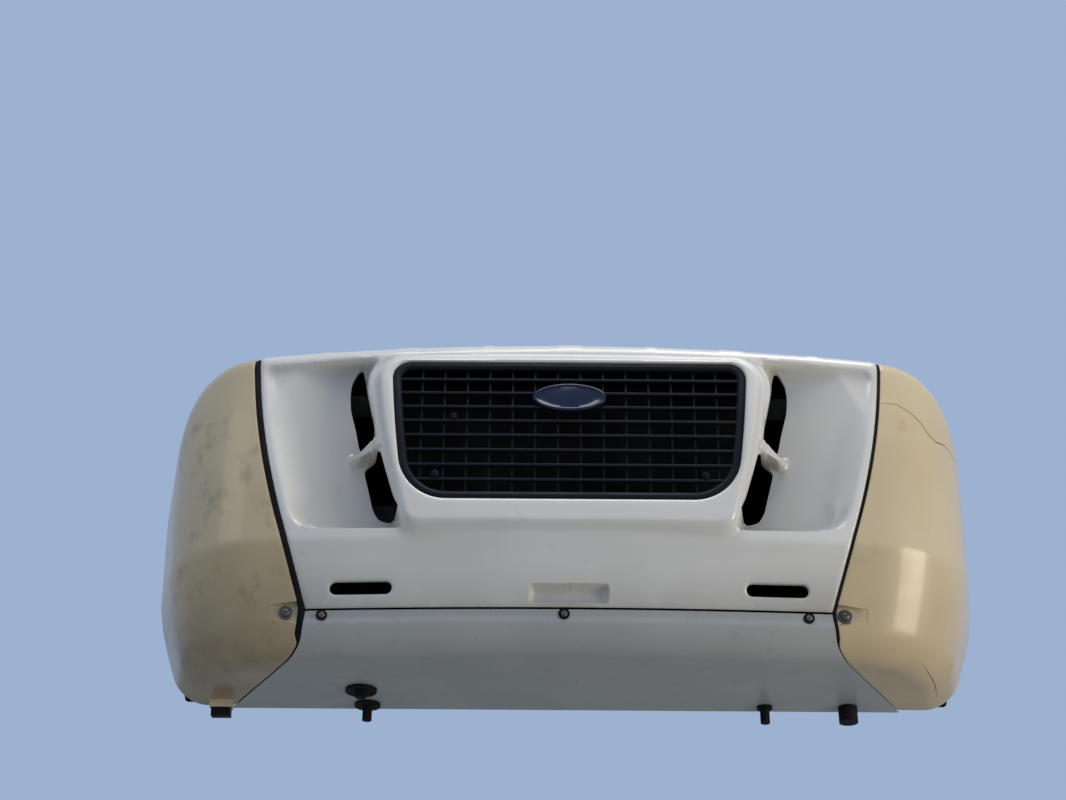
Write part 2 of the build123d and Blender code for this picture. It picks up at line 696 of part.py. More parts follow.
# Bulkhead that fills the wall aperture, and its gasket
with BuildPart() as bulkhead:
    with BuildSketch(Plane.XZ.offset(-40)):
        with Locations((0, (aperture_low + aperture_high) / 2)):
            Rectangle(2 * aperture_x, aperture_high - aperture_low)
    extrude(amount=80)
bulkhead.part.label = "bulkhead"
with BuildPart() as wall_gasket:
    with BuildSketch(Plane.XZ.offset(-30)):
        with Locations((0, (aperture_low + aperture_high) / 2)):
            RectangleRounded(2 * aperture_x + 36, aperture_high - aperture_low + 36, 18)
            Rectangle(2 * aperture_x, aperture_high - aperture_low, mode=Mode.SUBTRACT)
    extrude(amount=30)
wall_gasket.part.label = "wall_gasket"

# Evaporator housing: top, sides and stepped back, open below for the return air
with BuildPart() as evaporator_housing:
    with BuildSketch(Plane.YZ.offset(-evaporator_half)) as profile:
        with BuildLine():
            Polyline((40, -142), (evaporator_back - 30, -142), (evaporator_back, -60), (evaporator_back, 196),
                     (evaporator_back - 40, 222), (40, 222), close=True)
        make_face()
    extrude(amount=2 * evaporator_half)
    with BuildSketch(Plane.YZ.offset(-evaporator_half + evaporator_sheet)):
        with BuildLine():
            s = evaporator_sheet
            Polyline((40, -142 + s), (evaporator_back - 30 - s, -142 + s), (evaporator_back - s, -60 + s),
                     (evaporator_back - s, 196 - s), (evaporator_back - 40 - s, 222 - s), (40, 222 - s), close=True)
        make_face()
    extrude(amount=2 * (evaporator_half - evaporator_sheet), mode=Mode.SUBTRACT)
    with BuildSketch(Plane.XZ.offset(-evaporator_back - 5)):
        with Locations((-fan_x, fan_z), (fan_x, fan_z)):
            Circle(fan_radius)
    extrude(amount=30, mode=Mode.SUBTRACT)
    with Locations((0, 140, -142)):
        Box(960, 150, 20, mode=Mode.SUBTRACT)
evaporator_housing.part.label = "evaporator_housing"
with BuildPart() as evaporator_coil:
    with Locations((0, 105, -70)):
        Box(1080, 90, 100)
evaporator_coil.part.label = "evaporator_coil"
with BuildPart() as return_grille:
    with Locations((0, 140, -144)):
        Box(1000, 190, 4)
        Box(960, 150, 4, mode=Mode.SUBTRACT)
    for i in range(7):
        with Locations((0, 80 + 20 * i, -144)):
            Box(960, 5, 4)
    for x in (-240, 0, 240):
        with Locations((x, 140, -144)):
            Box(6, 150, 4)
return_grille.part.label = "return_grille"

for piece in (top_panel, outlet_guard, mounting_frame, frame_posts, frame_rails, frame_arms, condenser_coil, engine_block, compressor,
              bulkhead, wall_gasket, evaporator_housing, evaporator_coil, return_grille):
    export_step(piece.part, "parts/" + piece.part.label + ".step")


# Evaporator fans: guard, motor on the bulkhead, five-bladed rotor
rotor_depth = 24.0


def blade_rotor(hub_radius, tip_radius, blades, chord_angle):
    """Axial rotor about +Z at the origin: hub with a bore, and pitched blades."""
    length = tip_radius - hub_radius + 6
    with BuildPart() as blade:
        with Locations(Location((hub_radius - 6 + length / 2, 0, 0), (24, 0, 0))):
            Box(length, 2 * tip_radius * math.sin(math.radians(chord_angle / 2)) * 0.8, 2.5)
        Cylinder(tip_radius, rotor_depth - 1, mode=Mode.INTERSECT)
    with BuildPart() as rotor:
        Cylinder(hub_radius, rotor_depth)
        for i in range(blades):
            add(blade.part.rotate(Axis.Z, i * 360 / blades))
        Cylinder(pin_radius + pin_play, rotor_depth + 2, mode=Mode.SUBTRACT)
    return rotor.part


evaporator_rotor = blade_rotor(32, 116, 5, 46)
for side, sign in (("left", -1), ("right", 1)):
    with BuildPart() as motor:
        for start, end, radius in ((40, 150, 24), (150, 226, 46), (226, 262, pin_radius)):
            with BuildSketch(Plane.XZ.offset(-end)):
                with Locations((sign * fan_x, fan_z)):
                    Circle(radius)
            extrude(amount=end - start)
    motor.part.label = side + "_evaporator_motor"
    with BuildPart() as rotor:
        add(evaporator_rotor.moved(Location((sign * fan_x, 248, fan_z), (90, 0, 0))))
    rotor.part.label = side + "_evaporator_fan"
    for piece in (motor, rotor):
        export_step(piece.part, "parts/" + piece.part.label + ".step")
with BuildPart() as evaporator_guards:
    with BuildSketch(Plane.XZ.offset(-evaporator_back - 4)):
        for x in (-fan_x, fan_x):
            with Locations((x, fan_z)):
                for radius in (fan_radius + 12, 98, 70, 42):
                    Circle(radius)
                    Circle(radius - 4, mode=Mode.SUBTRACT)
                Circle(16)
                Rectangle(2 * fan_radius + 18, 4)
                Rectangle(4, 2 * fan_radius + 18)
    extrude(amount=4)
evaporator_guards.part.label = "evaporator_guards"
export_step(evaporator_guards.part, "parts/evaporator_guards.step")

# Condenser fan under the air outlet
with BuildPart() as condenser_motor:
    with Locations((0, -outlet_y, 322)):
        Cylinder(58, 14)
    with Locations((0, -outlet_y, 342)):
        Cylinder(pin_radius, 36)
condenser_motor.part.label = "condenser_motor"
with BuildPart() as condenser_fan:
    add(blade_rotor(44, 108, 7, 36).moved(Location((0, -outlet_y, 346))))
condenser_fan.part.label = "condenser_fan"

# Small fittings under the floor: bung, drain outlets, spout, and the left door's tab with its stop
floor_slope = (bend_z - bottom_wall_z) / bend_y
floor_angle = math.degrees(math.atan(floor_slope))


def under_floor(x, y, drop=0.0):
    """Plane on the underside of the floor at a point, facing down."""
    z = bottom_wall_z - y * floor_slope - drop
    return Plane((x, y, z), (1, 0, 0), (0, -math.sin(math.radians(floor_angle)), -math.cos(math.radians(floor_angle))))


with BuildPart() as drain_bung:
    with BuildSketch(under_floor(-470, -130)):
        Circle(36)
    extrude(amount=6)
    with BuildSketch(under_floor(-470, -130, 6)):
        RegularPolygon(13, 6)
    extrude(amount=14)
drain_bung.part.label = "drain_bung"
with BuildPart() as left_drain_outlet:
    with BuildSketch(under_floor(-462, -38)):
        Circle(30)
    extrude(amount=6)
    with BuildSketch(under_floor(-462, -38, 6)):
        Circle(11)
    extrude(amount=34)
left_drain_outlet.part.label = "left_drain_outlet"
with BuildPart() as right_drain_outlet:
    with BuildSketch(under_floor(462, -38)):
        Circle(18)
    extrude(amount=6)
    with BuildSketch(under_floor(462, -38, 6)):
        Circle(11)
    extrude(amount=34)
right_drain_outlet.part.label = "right_drain_outlet"
with BuildPart() as cable_spout:
    with BuildSketch(under_floor(655, -40)):
        Circle(22)
    extrude(amount=38)
cable_spout.part.label = "cable_spout"
with BuildPart() as left_door_tab:
    with Locations((-800, -46, -374)):
        Box(52, 34, 26)
    add(outer, mode=Mode.SUBTRACT)
left_door_tab.part.label = "left_door_tab"
with BuildPart() as left_door_stop:
    with Locations((-800, -46, -397)):
        Box(44, 28, 20)
left_door_stop.part.label = "left_door_stop"

# Cover hinges on the roof: bracket with pin, and leaf on the cover
hinge_x = 480.0
with BuildPart() as cover_hinge_brackets:
    with BuildSketch(Plane.YZ.offset(hinge_x - 14)):
        with Locations((-hinge_y, hinge_z)):
            Circle(9)
        with BuildLine():
            Polyline((-297, 350), (-250, 350), (-250, 368), (-284, 370), (-291, 389), (-300, 389), (-297, 380),
                     close=True)
        make_face()
    extrude(amount=28)
    add(under_skin, mode=Mode.SUBTRACT)
    with Locations((hinge_x, -hinge_y, hinge_z)):
        Cylinder(4.5, 64, rotation=(0, 90, 0))
    mirror(about=Plane.YZ)
cover_hinge_brackets.part.label = "cover_hinge_brackets"
with BuildPart() as cover_hinge_leaves:
    for low in (14.5, -32.5):
        with BuildSketch(Plane.YZ.offset(hinge_x + low)):
            with Locations((-hinge_y, hinge_z)):
                Circle(9)
            with BuildLine():
                Polyline((-345, 360), (-345, 379), (-312, 380), (-309, 389), (-300, 389), (-300, 381), (-304, 378),
                         (-304, 360), close=True)
            make_face()
        extrude(amount=18)
    add(outer, mode=Mode.SUBTRACT)
    with Locations((hinge_x, -hinge_y, hinge_z)):
        Cylinder(4.8, 80, rotation=(0, 90, 0), mode=Mode.SUBTRACT)
    mirror(about=Plane.YZ)
cover_hinge_leaves.part.label = "cover_hinge_leaves"

for piece in (condenser_motor, condenser_fan, drain_bung, left_drain_outlet, right_drain_outlet, cable_spout,
              left_door_tab, left_door_stop, cover_hinge_brackets, cover_hinge_leaves):
    export_step(piece.part, "parts/" + piece.part.label + ".step")
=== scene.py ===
"""Nose-mounted refrigeration unit of an insulated truck body, dressed for the render.

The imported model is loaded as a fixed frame. Each class below builds and finishes one sub-assembly of the
unit in that frame: metres, +Z up, the wall of the truck body at y = 0 and the front towards -Y.
"""
import logging
import math
from dataclasses import dataclass, field, replace
from enum import Enum
from typing import Any, Callable

import bmesh
import bpy
import numpy as np
from mathutils import Matrix, Vector
from mathutils.geometry import delaunay_2d_cdt


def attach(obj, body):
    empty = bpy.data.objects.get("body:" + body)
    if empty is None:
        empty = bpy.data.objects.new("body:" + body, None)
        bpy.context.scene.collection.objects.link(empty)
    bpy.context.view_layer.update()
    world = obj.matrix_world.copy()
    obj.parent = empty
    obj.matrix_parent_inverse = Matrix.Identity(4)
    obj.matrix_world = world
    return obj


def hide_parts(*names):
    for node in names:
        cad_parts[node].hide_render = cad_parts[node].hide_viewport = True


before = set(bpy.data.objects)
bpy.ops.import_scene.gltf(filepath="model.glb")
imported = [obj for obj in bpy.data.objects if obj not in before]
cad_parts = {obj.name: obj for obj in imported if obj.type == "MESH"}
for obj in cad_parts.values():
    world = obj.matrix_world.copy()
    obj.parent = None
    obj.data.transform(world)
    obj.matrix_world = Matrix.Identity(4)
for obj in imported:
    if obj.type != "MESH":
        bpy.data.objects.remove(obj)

MM = 0.001

log = logging.getLogger("refrigeration_unit")


def colour(code: str) -> tuple[float, float, float, float]:
    """Turn an sRGB hex colour into the linear one that a shader takes.

    Args:
        code: Six hex digits, such as "F2EFE6".

    Returns:
        Linear red, green, blue and an alpha of 1.
    """
    channels = [int(code[i:i + 2], 16) / 255 for i in (0, 2, 4)]
    linear = [c / 12.92 if c <= 0.04045 else ((c + 0.055) / 1.055) ** 2.4 for c in channels]
    return (*linear, 1.0)


def add_node(tree: bpy.types.NodeTree, kind: str, settings: dict[Any, Any] | None = None,
             links: dict[Any, bpy.types.NodeSocket] | None = None) -> bpy.types.Node:
    """Add one node to a material.

    Args:
        tree: The material's node tree.
        kind: Blender's name of the node, without its "ShaderNode" start.
        settings: Values by attribute name, or by socket name or number.
        links: Sockets that feed this node, by its own socket name or number.

    Returns:
        The new node.
    """
    node = tree.nodes.new("ShaderNode" + kind)
    for key, value in (settings or {}).items():
        if isinstance(key, str) and hasattr(node, key):
            setattr(node, key, value)
        else:
            node.inputs[key].default_value = value
    for key, socket in (links or {}).items():
        tree.links.new(socket, node.inputs[key])
    return node


class Surface(Enum):
    """How a finish's fine surface was made, which sets the pattern of its bump."""

    SPRAYED = "sprayed"
    MOULDED = "moulded"
    ROLLED = "rolled"
    CAST = "cast"


# Texture of each surface's bump, and how far that is drawn out along x, y and z
BUMP_PATTERN = {
    Surface.SPRAYED: ("TexNoise", (1, 1, 1)),
    Surface.MOULDED: ("TexNoise", (1, 1, 1)),
    Surface.ROLLED: ("TexNoise", (0.06, 1, 1)),
    Surface.CAST: ("TexVoronoi", (1, 1, 1)),
}

# Noise values between which each pattern goes from none to full
TINT_BAND = (0.35, 0.68)
WEAR_BAND = (0.3, 0.7)
LOW_DARKENING_BAND = (0.3, 0.65)
DIRT_BAND = (0.72, 0.84)
# How far a full dirt cover lowers the two ends of its band
DIRT_REACH = (0.4, 0.25)
# Share of the darkening towards the bottom that is left where its patches are thinnest
LOW_DARKENING_LEFT = 0.45
# Patches of wear are this many times smaller than those of the tint
WEAR_FINENESS = 2.2
# Roughness of the least and the most worn places, as shares of the finish's own
WEAR_ROUGHNESS = (0.82, 1.25)


def per_metre(size: float) -> float:
    """How many patches of a size in millimetres fit in a metre, which is a texture's scale."""
    return 1000 / size


@dataclass(frozen=True)
class Finish:
    """One real material with its colours, gloss, weathering and fine surface.

    The patterns read Object coordinates in metres. Sizes here are in millimetres. Dirt lies in patches, painted
    shade darkens deep places under the top edge, and the colour grows darker downwards between the two heights.
    """

    name: str
    base: str
    tint: str
    # Colour of the grime patches, also laid as painted shade in deep places and as the darkening further down
    dirt_and_shade: str
    roughness: float
    metallic: float = 0.0
    ior: float = 1.5
    coat: float = 0.0
    coat_roughness: float = 0.08
    tint_mm: float = 260.0
    tint_share: float = 0.5
    dirt_mm: float = 45.0
    dirt_cover: float = 0.35
    dirt_share: float = 0.35
    grain_mm: float = 3.0
    grain_height: float = 0.05
    low_darkening_share: float = 0.0
    low_darkening_heights: tuple[float, float] = (-90.0, -330.0)
    low_darkening_patch_mm: float = 111.1
    recess_shade_share: float = 0.0
    recess_shade_depths: tuple[float, float] = (-418.0, -352.0)
    recess_shade_heights: tuple[float, float] = (352.0, 330.0)
    surface: Surface = Surface.SPRAYED

    def material(self) -> bpy.types.Material:
        """Build the material.

        Returns:
            The finished node material.
        """
        material = bpy.data.materials.new(self.name)
        material.use_nodes = True
        tree = material.node_tree
        tree.nodes.clear()
        place = add_node(tree, "TexCoord").outputs["Object"]
        shader = add_node(tree, "BsdfPrincipled",
                          {"Metallic": self.metallic, "IOR": self.ior, "Coat Weight": self.coat,
                           "Coat Roughness": self.coat_roughness},
                          {"Base Color": self.painted(tree, place), "Roughness": self.gloss(tree, place),
                           "Normal": self.grain(tree, place)})
        add_node(tree, "OutputMaterial", {}, {"Surface": shader.outputs["BSDF"]})
        return material

    def painted(self, tree: bpy.types.NodeTree, place: bpy.types.NodeSocket) -> bpy.types.NodeSocket:
        """Lay down the colour: base, slow drift to the tint, then patches of grime, painted shade in deep
        places, and darkening further down.

        Args:
            tree: The material's node tree.
            place: Object coordinates.

        Returns:
            The colour socket.
        """
        drift = add_node(tree, "TexNoise", {"Scale": per_metre(self.tint_mm), "Detail": 3.0}, {"Vector": place})
        share = add_node(tree, "MapRange", {"From Min": TINT_BAND[0], "From Max": TINT_BAND[1],
                                            "To Max": self.tint_share}, {"Value": drift.outputs["Fac"]})
        toned = add_node(tree, "Mix", {"data_type": "RGBA", 6: colour(self.base), 7: colour(self.tint)},
                         {0: share.outputs["Result"]})
        patches = add_node(tree, "TexNoise", {"Scale": per_metre(self.dirt_mm), "Detail": 8.0,
                                              "Roughness": 0.62}, {"Vector": place})
        low, high = (end - reach * self.dirt_cover for end, reach in zip(DIRT_BAND, DIRT_REACH))
        cover = add_node(tree, "MapRange", {"From Min": low, "From Max": high, "To Max": self.dirt_share},
                         {"Value": patches.outputs["Fac"]})
        paint = self.dirt_and_shade_layer(tree, toned.outputs[2], cover.outputs["Result"])
        axes = add_node(tree, "SeparateXYZ", {}, {"Vector": place})
        # Painted shade: the darkening colour laid into deep places under the top edge
        if self.recess_shade_share:
            paint = self.dirt_and_shade_layer(tree, paint, self.recess_shade(tree, axes))
        # Darker towards the bottom, in uneven patches
        if self.low_darkening_share:
            paint = self.dirt_and_shade_layer(tree, paint, self.low_darkening(tree, place, axes))
        return paint

    def dirt_and_shade_layer(self, tree: bpy.types.NodeTree, paint: bpy.types.NodeSocket,
               share: bpy.types.NodeSocket) -> bpy.types.NodeSocket:
        """Lay the colour of grime and painted shade over another by a share."""
        layer = add_node(tree, "Mix", {"data_type": "RGBA", 7: colour(self.dirt_and_shade)}, {0: share, 6: paint})
        return layer.outputs[2]

    def recess_shade(self, tree: bpy.types.NodeTree, axes: bpy.types.Node) -> bpy.types.NodeSocket:
        """Find how much painted shade darkens the deep places under the top edge.

        Args:
            tree: The material's node tree.
            axes: Node that gives the three Object coordinates.

        Returns:
            The socket of that share.
        """
        deep, below = (
            add_node(tree, "MapRange", {"interpolation_type": "SMOOTHSTEP", "From Min": ends[0] * MM,
                                        "From Max": ends[1] * MM, "To Max": most},
                     {"Value": axes.outputs[axis]})
            for ends, most, axis in ((self.recess_shade_depths, self.recess_shade_share, "Y"),
                                     (self.recess_shade_heights, 1.0, "Z")))
        shade_amount = add_node(tree, "Math", {"operation": "MULTIPLY"},
                           {0: deep.outputs["Result"], 1: below.outputs["Result"]})
        return shade_amount.outputs["Value"]

    def low_darkening(self, tree: bpy.types.NodeTree, place: bpy.types.NodeSocket,
             axes: bpy.types.Node) -> bpy.types.NodeSocket:
        """Find how much darker the colour grows further down, broken into uneven patches.

        Args:
            tree: The material's node tree.
            place: Object coordinates.
            axes: Node that gives the three Object coordinates.

        Returns:
            The socket of that share.
        """
        low = add_node(tree, "MapRange", {"interpolation_type": "SMOOTHSTEP", "To Max": self.low_darkening_share,
                                          "From Min": self.low_darkening_heights[0] * MM,
                                          "From Max": self.low_darkening_heights[1] * MM}, {"Value": axes.outputs["Z"]})
        broken = add_node(tree, "TexNoise", {"Scale": per_metre(self.low_darkening_patch_mm), "Detail": 6.0,
                                             "Roughness": 0.6}, {"Vector": place})
        uneven = add_node(tree, "MapRange", {"From Min": LOW_DARKENING_BAND[0], "From Max": LOW_DARKENING_BAND[1],
                                             "To Min": LOW_DARKENING_LEFT}, {"Value": broken.outputs["Fac"]})
        low_darkening = add_node(tree, "Math", {"operation": "MULTIPLY"},
                        {0: low.outputs["Result"], 1: uneven.outputs["Result"]})
        return low_darkening.outputs["Value"]

    def gloss(self, tree: bpy.types.NodeTree, place: bpy.types.NodeSocket) -> bpy.types.NodeSocket:
        """Vary the roughness, as handling and weather do.

        Args:
            tree: The material's node tree.
            place: Object coordinates.

        Returns:
            The roughness socket.
        """
        wear = add_node(tree, "TexNoise", {"Scale": WEAR_FINENESS * per_metre(self.tint_mm), "Detail": 5.0},
                        {"Vector": place})
        least, most = (self.roughness * share for share in WEAR_ROUGHNESS)
        rough = add_node(tree, "MapRange", {"From Min": WEAR_BAND[0], "From Max": WEAR_BAND[1],
                                            "To Min": least, "To Max": min(1.0, most)},
                         {"Value": wear.outputs["Fac"]})
        return rough.outputs["Result"]

    def grain(self, tree: bpy.types.NodeTree, place: bpy.types.NodeSocket) -> bpy.types.NodeSocket:
        """Give the fine surface as bump.

        Args:
            tree: The material's node tree.
            place: Object coordinates.

        Returns:
            The normal socket.
        """
        kind, stretch = BUMP_PATTERN[self.surface]
        laid = add_node(tree, "Mapping", {"Scale": stretch}, {"Vector": place})
        grain = add_node(tree, kind, {"Scale": per_metre(self.grain_mm)}, {"Vector": laid.outputs["Vector"]})
        bump = add_node(tree, "Bump", {"Strength": 1.0, "Distance": self.grain_height * MM},
                        {"Height": grain.outputs[0]})
        return bump.outputs["Normal"]


# White gelcoat: resin skin sprayed into the mould, smooth, with a deep soft gloss, grime patches and darker
# towards the bottom; painted shade darkens its deep places under the top edge
COVER_GELCOAT = Finish("white_gelcoat_sprayed", "DEDBD2", "D1CEC5", "8F897C", 0.22, coat=0.3, dirt_mm=60,
                       low_darkening_share=0.45, low_darkening_heights=(-130.0, -250.0), recess_shade_share=0.4,
                       dirt_cover=0.2, dirt_share=0.3)
# Older gelcoat, yellowed and chalked by the sun to a cream that is duller where the weather stands on it, and
# darker towards the bottom
DOOR_GELCOAT = Finish("weathered_cream_gelcoat", "D2C09A", "C2AD84", "95795A", 0.3, coat=0.25, dirt_mm=75,
                      low_darkening_share=0.25, dirt_cover=0.25, dirt_share=0.35)
# The same gelcoat on the side that gets less sun: base and tint darkened and browned as painted shade, with
# darker, more frequent grime patches and more darkening further down
SHADED_GELCOAT = replace(DOOR_GELCOAT, name="shade_darkened_soiled_cream_gelcoat", base="C6B48E", tint="AE9A75",
                         dirt_and_shade="6E5E47", dirt_share=0.5, dirt_cover=0.45, low_darkening_share=0.6)
# Road film that has crept into a hairline crack in gelcoat: a matt brown thread
CRACK_FILM = Finish("soiled_crack_in_gelcoat", "6B4E30", "5A4128", "3E2E1E", 0.85)
# Freshly broken gelcoat edge: chalky and paler than the weathered skin
CHIP_EDGE = Finish("chalky_gelcoat_edge", "DCD0B6", "CDBFA2", "A08C6C", 0.7)
# Enamelled steel sheet under the cover: flat, hard and even, with grime patches; its white is greyed as painted
# shade for the sheet in the unit's shadow
PANEL_PAINT = Finish("shade_greyed_white_enamelled_sheet", "A9ABA6", "9A9D99", "736D60", 0.3, dirt_share=0.3)
# Moulded ABS dyed dark navy: shallow even gloss
GRILLE_PLASTIC = Finish("moulded_navy_abs", "030714", "050A1A", "0F121B", 0.5, ior=1.32,
                        surface=Surface.MOULDED)
# The same ABS with a polished face, a shade bluer
PAD_PLASTIC = Finish("polished_navy_abs", "0B1330", "0D1738", "171B28", 0.2, surface=Surface.MOULDED)
# Extruded EPDM rubber: dense matt black
SEAL_RUBBER = Finish("extruded_epdm_rubber", "020203", "050506", "1C1A17", 0.75, ior=1.35,
                     surface=Surface.MOULDED)
# Black chassis paint on folded sheet, dusty; the white-coated bulkhead wears the same black as painted shade
FRAME_AND_SHADE_BLACK = Finish("black_chassis_paint_and_painted_shade", "020203", "030304", "080706", 0.95, ior=1.15)
# Coil fins in near-black, painted shade for the dark between and behind the fins, with the dull gloss of an
# epoxy dip against salt
COIL_SHADE_BLACK = Finish("shade_black_coil_fins", "020203", "040405", "0B0A08", 0.85, ior=1.3,
                    surface=Surface.ROLLED)
# Bare aluminium fins of the evaporator: rolled, soft metallic
COIL_ALUMINIUM = Finish("finned_aluminium", "8F9193", "7B7E80", "4A463F", 0.42, 1.0, surface=Surface.ROLLED)
# Cast iron under engine enamel: sand-cast skin shows through the paint
ENGINE_PAINT = Finish("painted_cast_iron", "0E0F11", "131417", "221C14", 0.55, surface=Surface.CAST)
# Coated steel sheet inside the body: white, easy to wash, low gloss
LINER_WHITE = Finish("white_coated_sheet", "D0D3D4", "C4C8C9", "A39F93", 0.32)
# Glass-filled nylon: black, fine moulded grain
FAN_PLASTIC = Finish("moulded_black_nylon", "0B0B0C", "101011", "27241F", 0.45, surface=Surface.MOULDED)
# Zinc die casting: dull grey cast skin, browned where it has begun to corrode
DULL_CASTING = Finish("dulled_zinc_die_casting", "6F6D66", "5C5950", "3B3226", 0.45, 1.0,
                      surface=Surface.CAST, grain_mm=1.5)
# Black-oxide steel bolts: dark, with only the rim of the head catching light
BLACK_STEEL = Finish("black_oxide_steel", "2A2B2E", "1E1F22", "2C241B", 0.42, 1.0, surface=Surface.ROLLED)
# Zinc-plated pressed steel: dull silver with a yellowish bloom where the plating has weathered
ZINC_STEEL = Finish("zinc_plated_steel", "9A9890", "7F7B70", "57462F", 0.38, 1.0, surface=Surface.ROLLED)

FINISH_NODES = {
    COVER_GELCOAT: ("front_cover",),
    DOOR_GELCOAT: ("left_door", "right_door", "left_door_tab"),
    PANEL_PAINT: ("lower_panel",),
    GRILLE_PLASTIC: ("grille", "badge_pad"),
    SEAL_RUBBER: ("left_seal_post", "right_seal_post", "wall_gasket", "drain_bung", "left_drain_outlet",
                  "right_drain_outlet", "cable_spout", "left_door_stop"),
    # The bulkhead's black is painted shade over a white-coated sheet
    FRAME_AND_SHADE_BLACK: ("mounting_frame", "frame_posts", "frame_rails", "frame_arms", "bulkhead"),
    LINER_WHITE: ("top_panel", "evaporator_housing", "return_grille"),
    COIL_SHADE_BLACK: ("condenser_coil",),
    COIL_ALUMINIUM: ("evaporator_coil",),
    ENGINE_PAINT: ("engine_block", "compressor", "condenser_motor", "left_evaporator_motor",
                   "right_evaporator_motor"),
    FAN_PLASTIC: ("condenser_fan", "left_evaporator_fan", "right_evaporator_fan"),
    ZINC_STEEL: ("outlet_guard", "evaporator_guards", "left_latch", "right_latch", "left_hinge_brackets",
                 "right_hinge_brackets", "left_hinge_leaves", "right_hinge_leaves", "cover_hinge_brackets",
                 "cover_hinge_leaves"),
}
NODE_FINISH = {node: finish for finish, nodes in FINISH_NODES.items() for node in nodes}


# Numbers or rows of points, in millimetres
Points = np.ndarray
# Radius and height, or two like distances, point by point
Profile = tuple[tuple[float, float], ...]

AHEAD, DOWN, UP = (0.0, -1.0, 0.0), (0.0, 0.0, -1.0), (0.0, 0.0, 1.0)
# Where rays to the front, the floor and the top of the skin start
INSIDE_Y, LOW_Z, HIGH_Z = -60.0, -200.0, 200.0
SIDES = {"left": -1, "right": 1}
# Width of the seam between the front cover and each door, and the share of it that is left at the floor
DOOR_GAPS = {"left": 15.0, "right": 8.0}
FLOOR_GAP_SHARE = 0.3
SEAM_TOP_Z = 331.0
# The leaning front of the grille and its frame: height where it starts, and radius
LEAN = (100.0, 1000.0)
LATCH_Z = -247.0
RECESS_FLOOR_Y = -360.0


def points_at(x: Points | float, y: Points | float, z: Points | float) -> Points:
    """Put coordinates together as points. Each may be one value for all of them."""
    return np.stack(np.broadcast_arrays(x, y, z), axis=-1)


def roll(first: Points, second: Points, radius: float) -> Points:
    """Join two signed distances so that their common edge is rounded.

    Args:
        first: Distance to the one face.
        second: Distance to the other.
        radius: Radius of the rounded edge.

    Returns:
        Distance to the whole form.
    """
    a, b = first + radius, second + radius
    return np.where((a > 0) & (b > 0), np.hypot(np.maximum(a, 0), np.maximum(b, 0)) - radius,
                    np.maximum(first, second))


def ease(value: Points, low: float, high: float) -> Points:
    """Rise smoothly from 0 at one value to 1 at another."""
    t = np.clip((value - low) / (high - low), 0, 1)
    return t * t * (3 - 2 * t)


def wedge_distance(u: Points, v: Points, centre: tuple[Points, Points], radius: Points,
                   first: tuple[Points, Points], last: tuple[Points, Points], before: Points,
                   after: Points) -> Points:
    """Signed distance to a rounded corner and the two runs that meet in it.

    Args:
        u: First coordinate.
        v: Second coordinate.
        centre: Centre of the corner's arc.
        radius: Radius of that arc.
        first: Outward direction where the arc starts, turning anticlockwise.
        last: Outward direction where the arc ends.
        before: Distance to the run before the arc.
        after: Distance to the run after it.

    Returns:
        Negative inside, positive outside.
    """
    du, dv = u - centre[0], v - centre[1]
    past_first = first[0] * dv - first[1] * du >= 0
    before_last = du * last[1] - dv * last[0] >= 0
    return np.where(past_first & before_last, np.hypot(du, dv) - radius,
                    np.where(past_first, after, before))


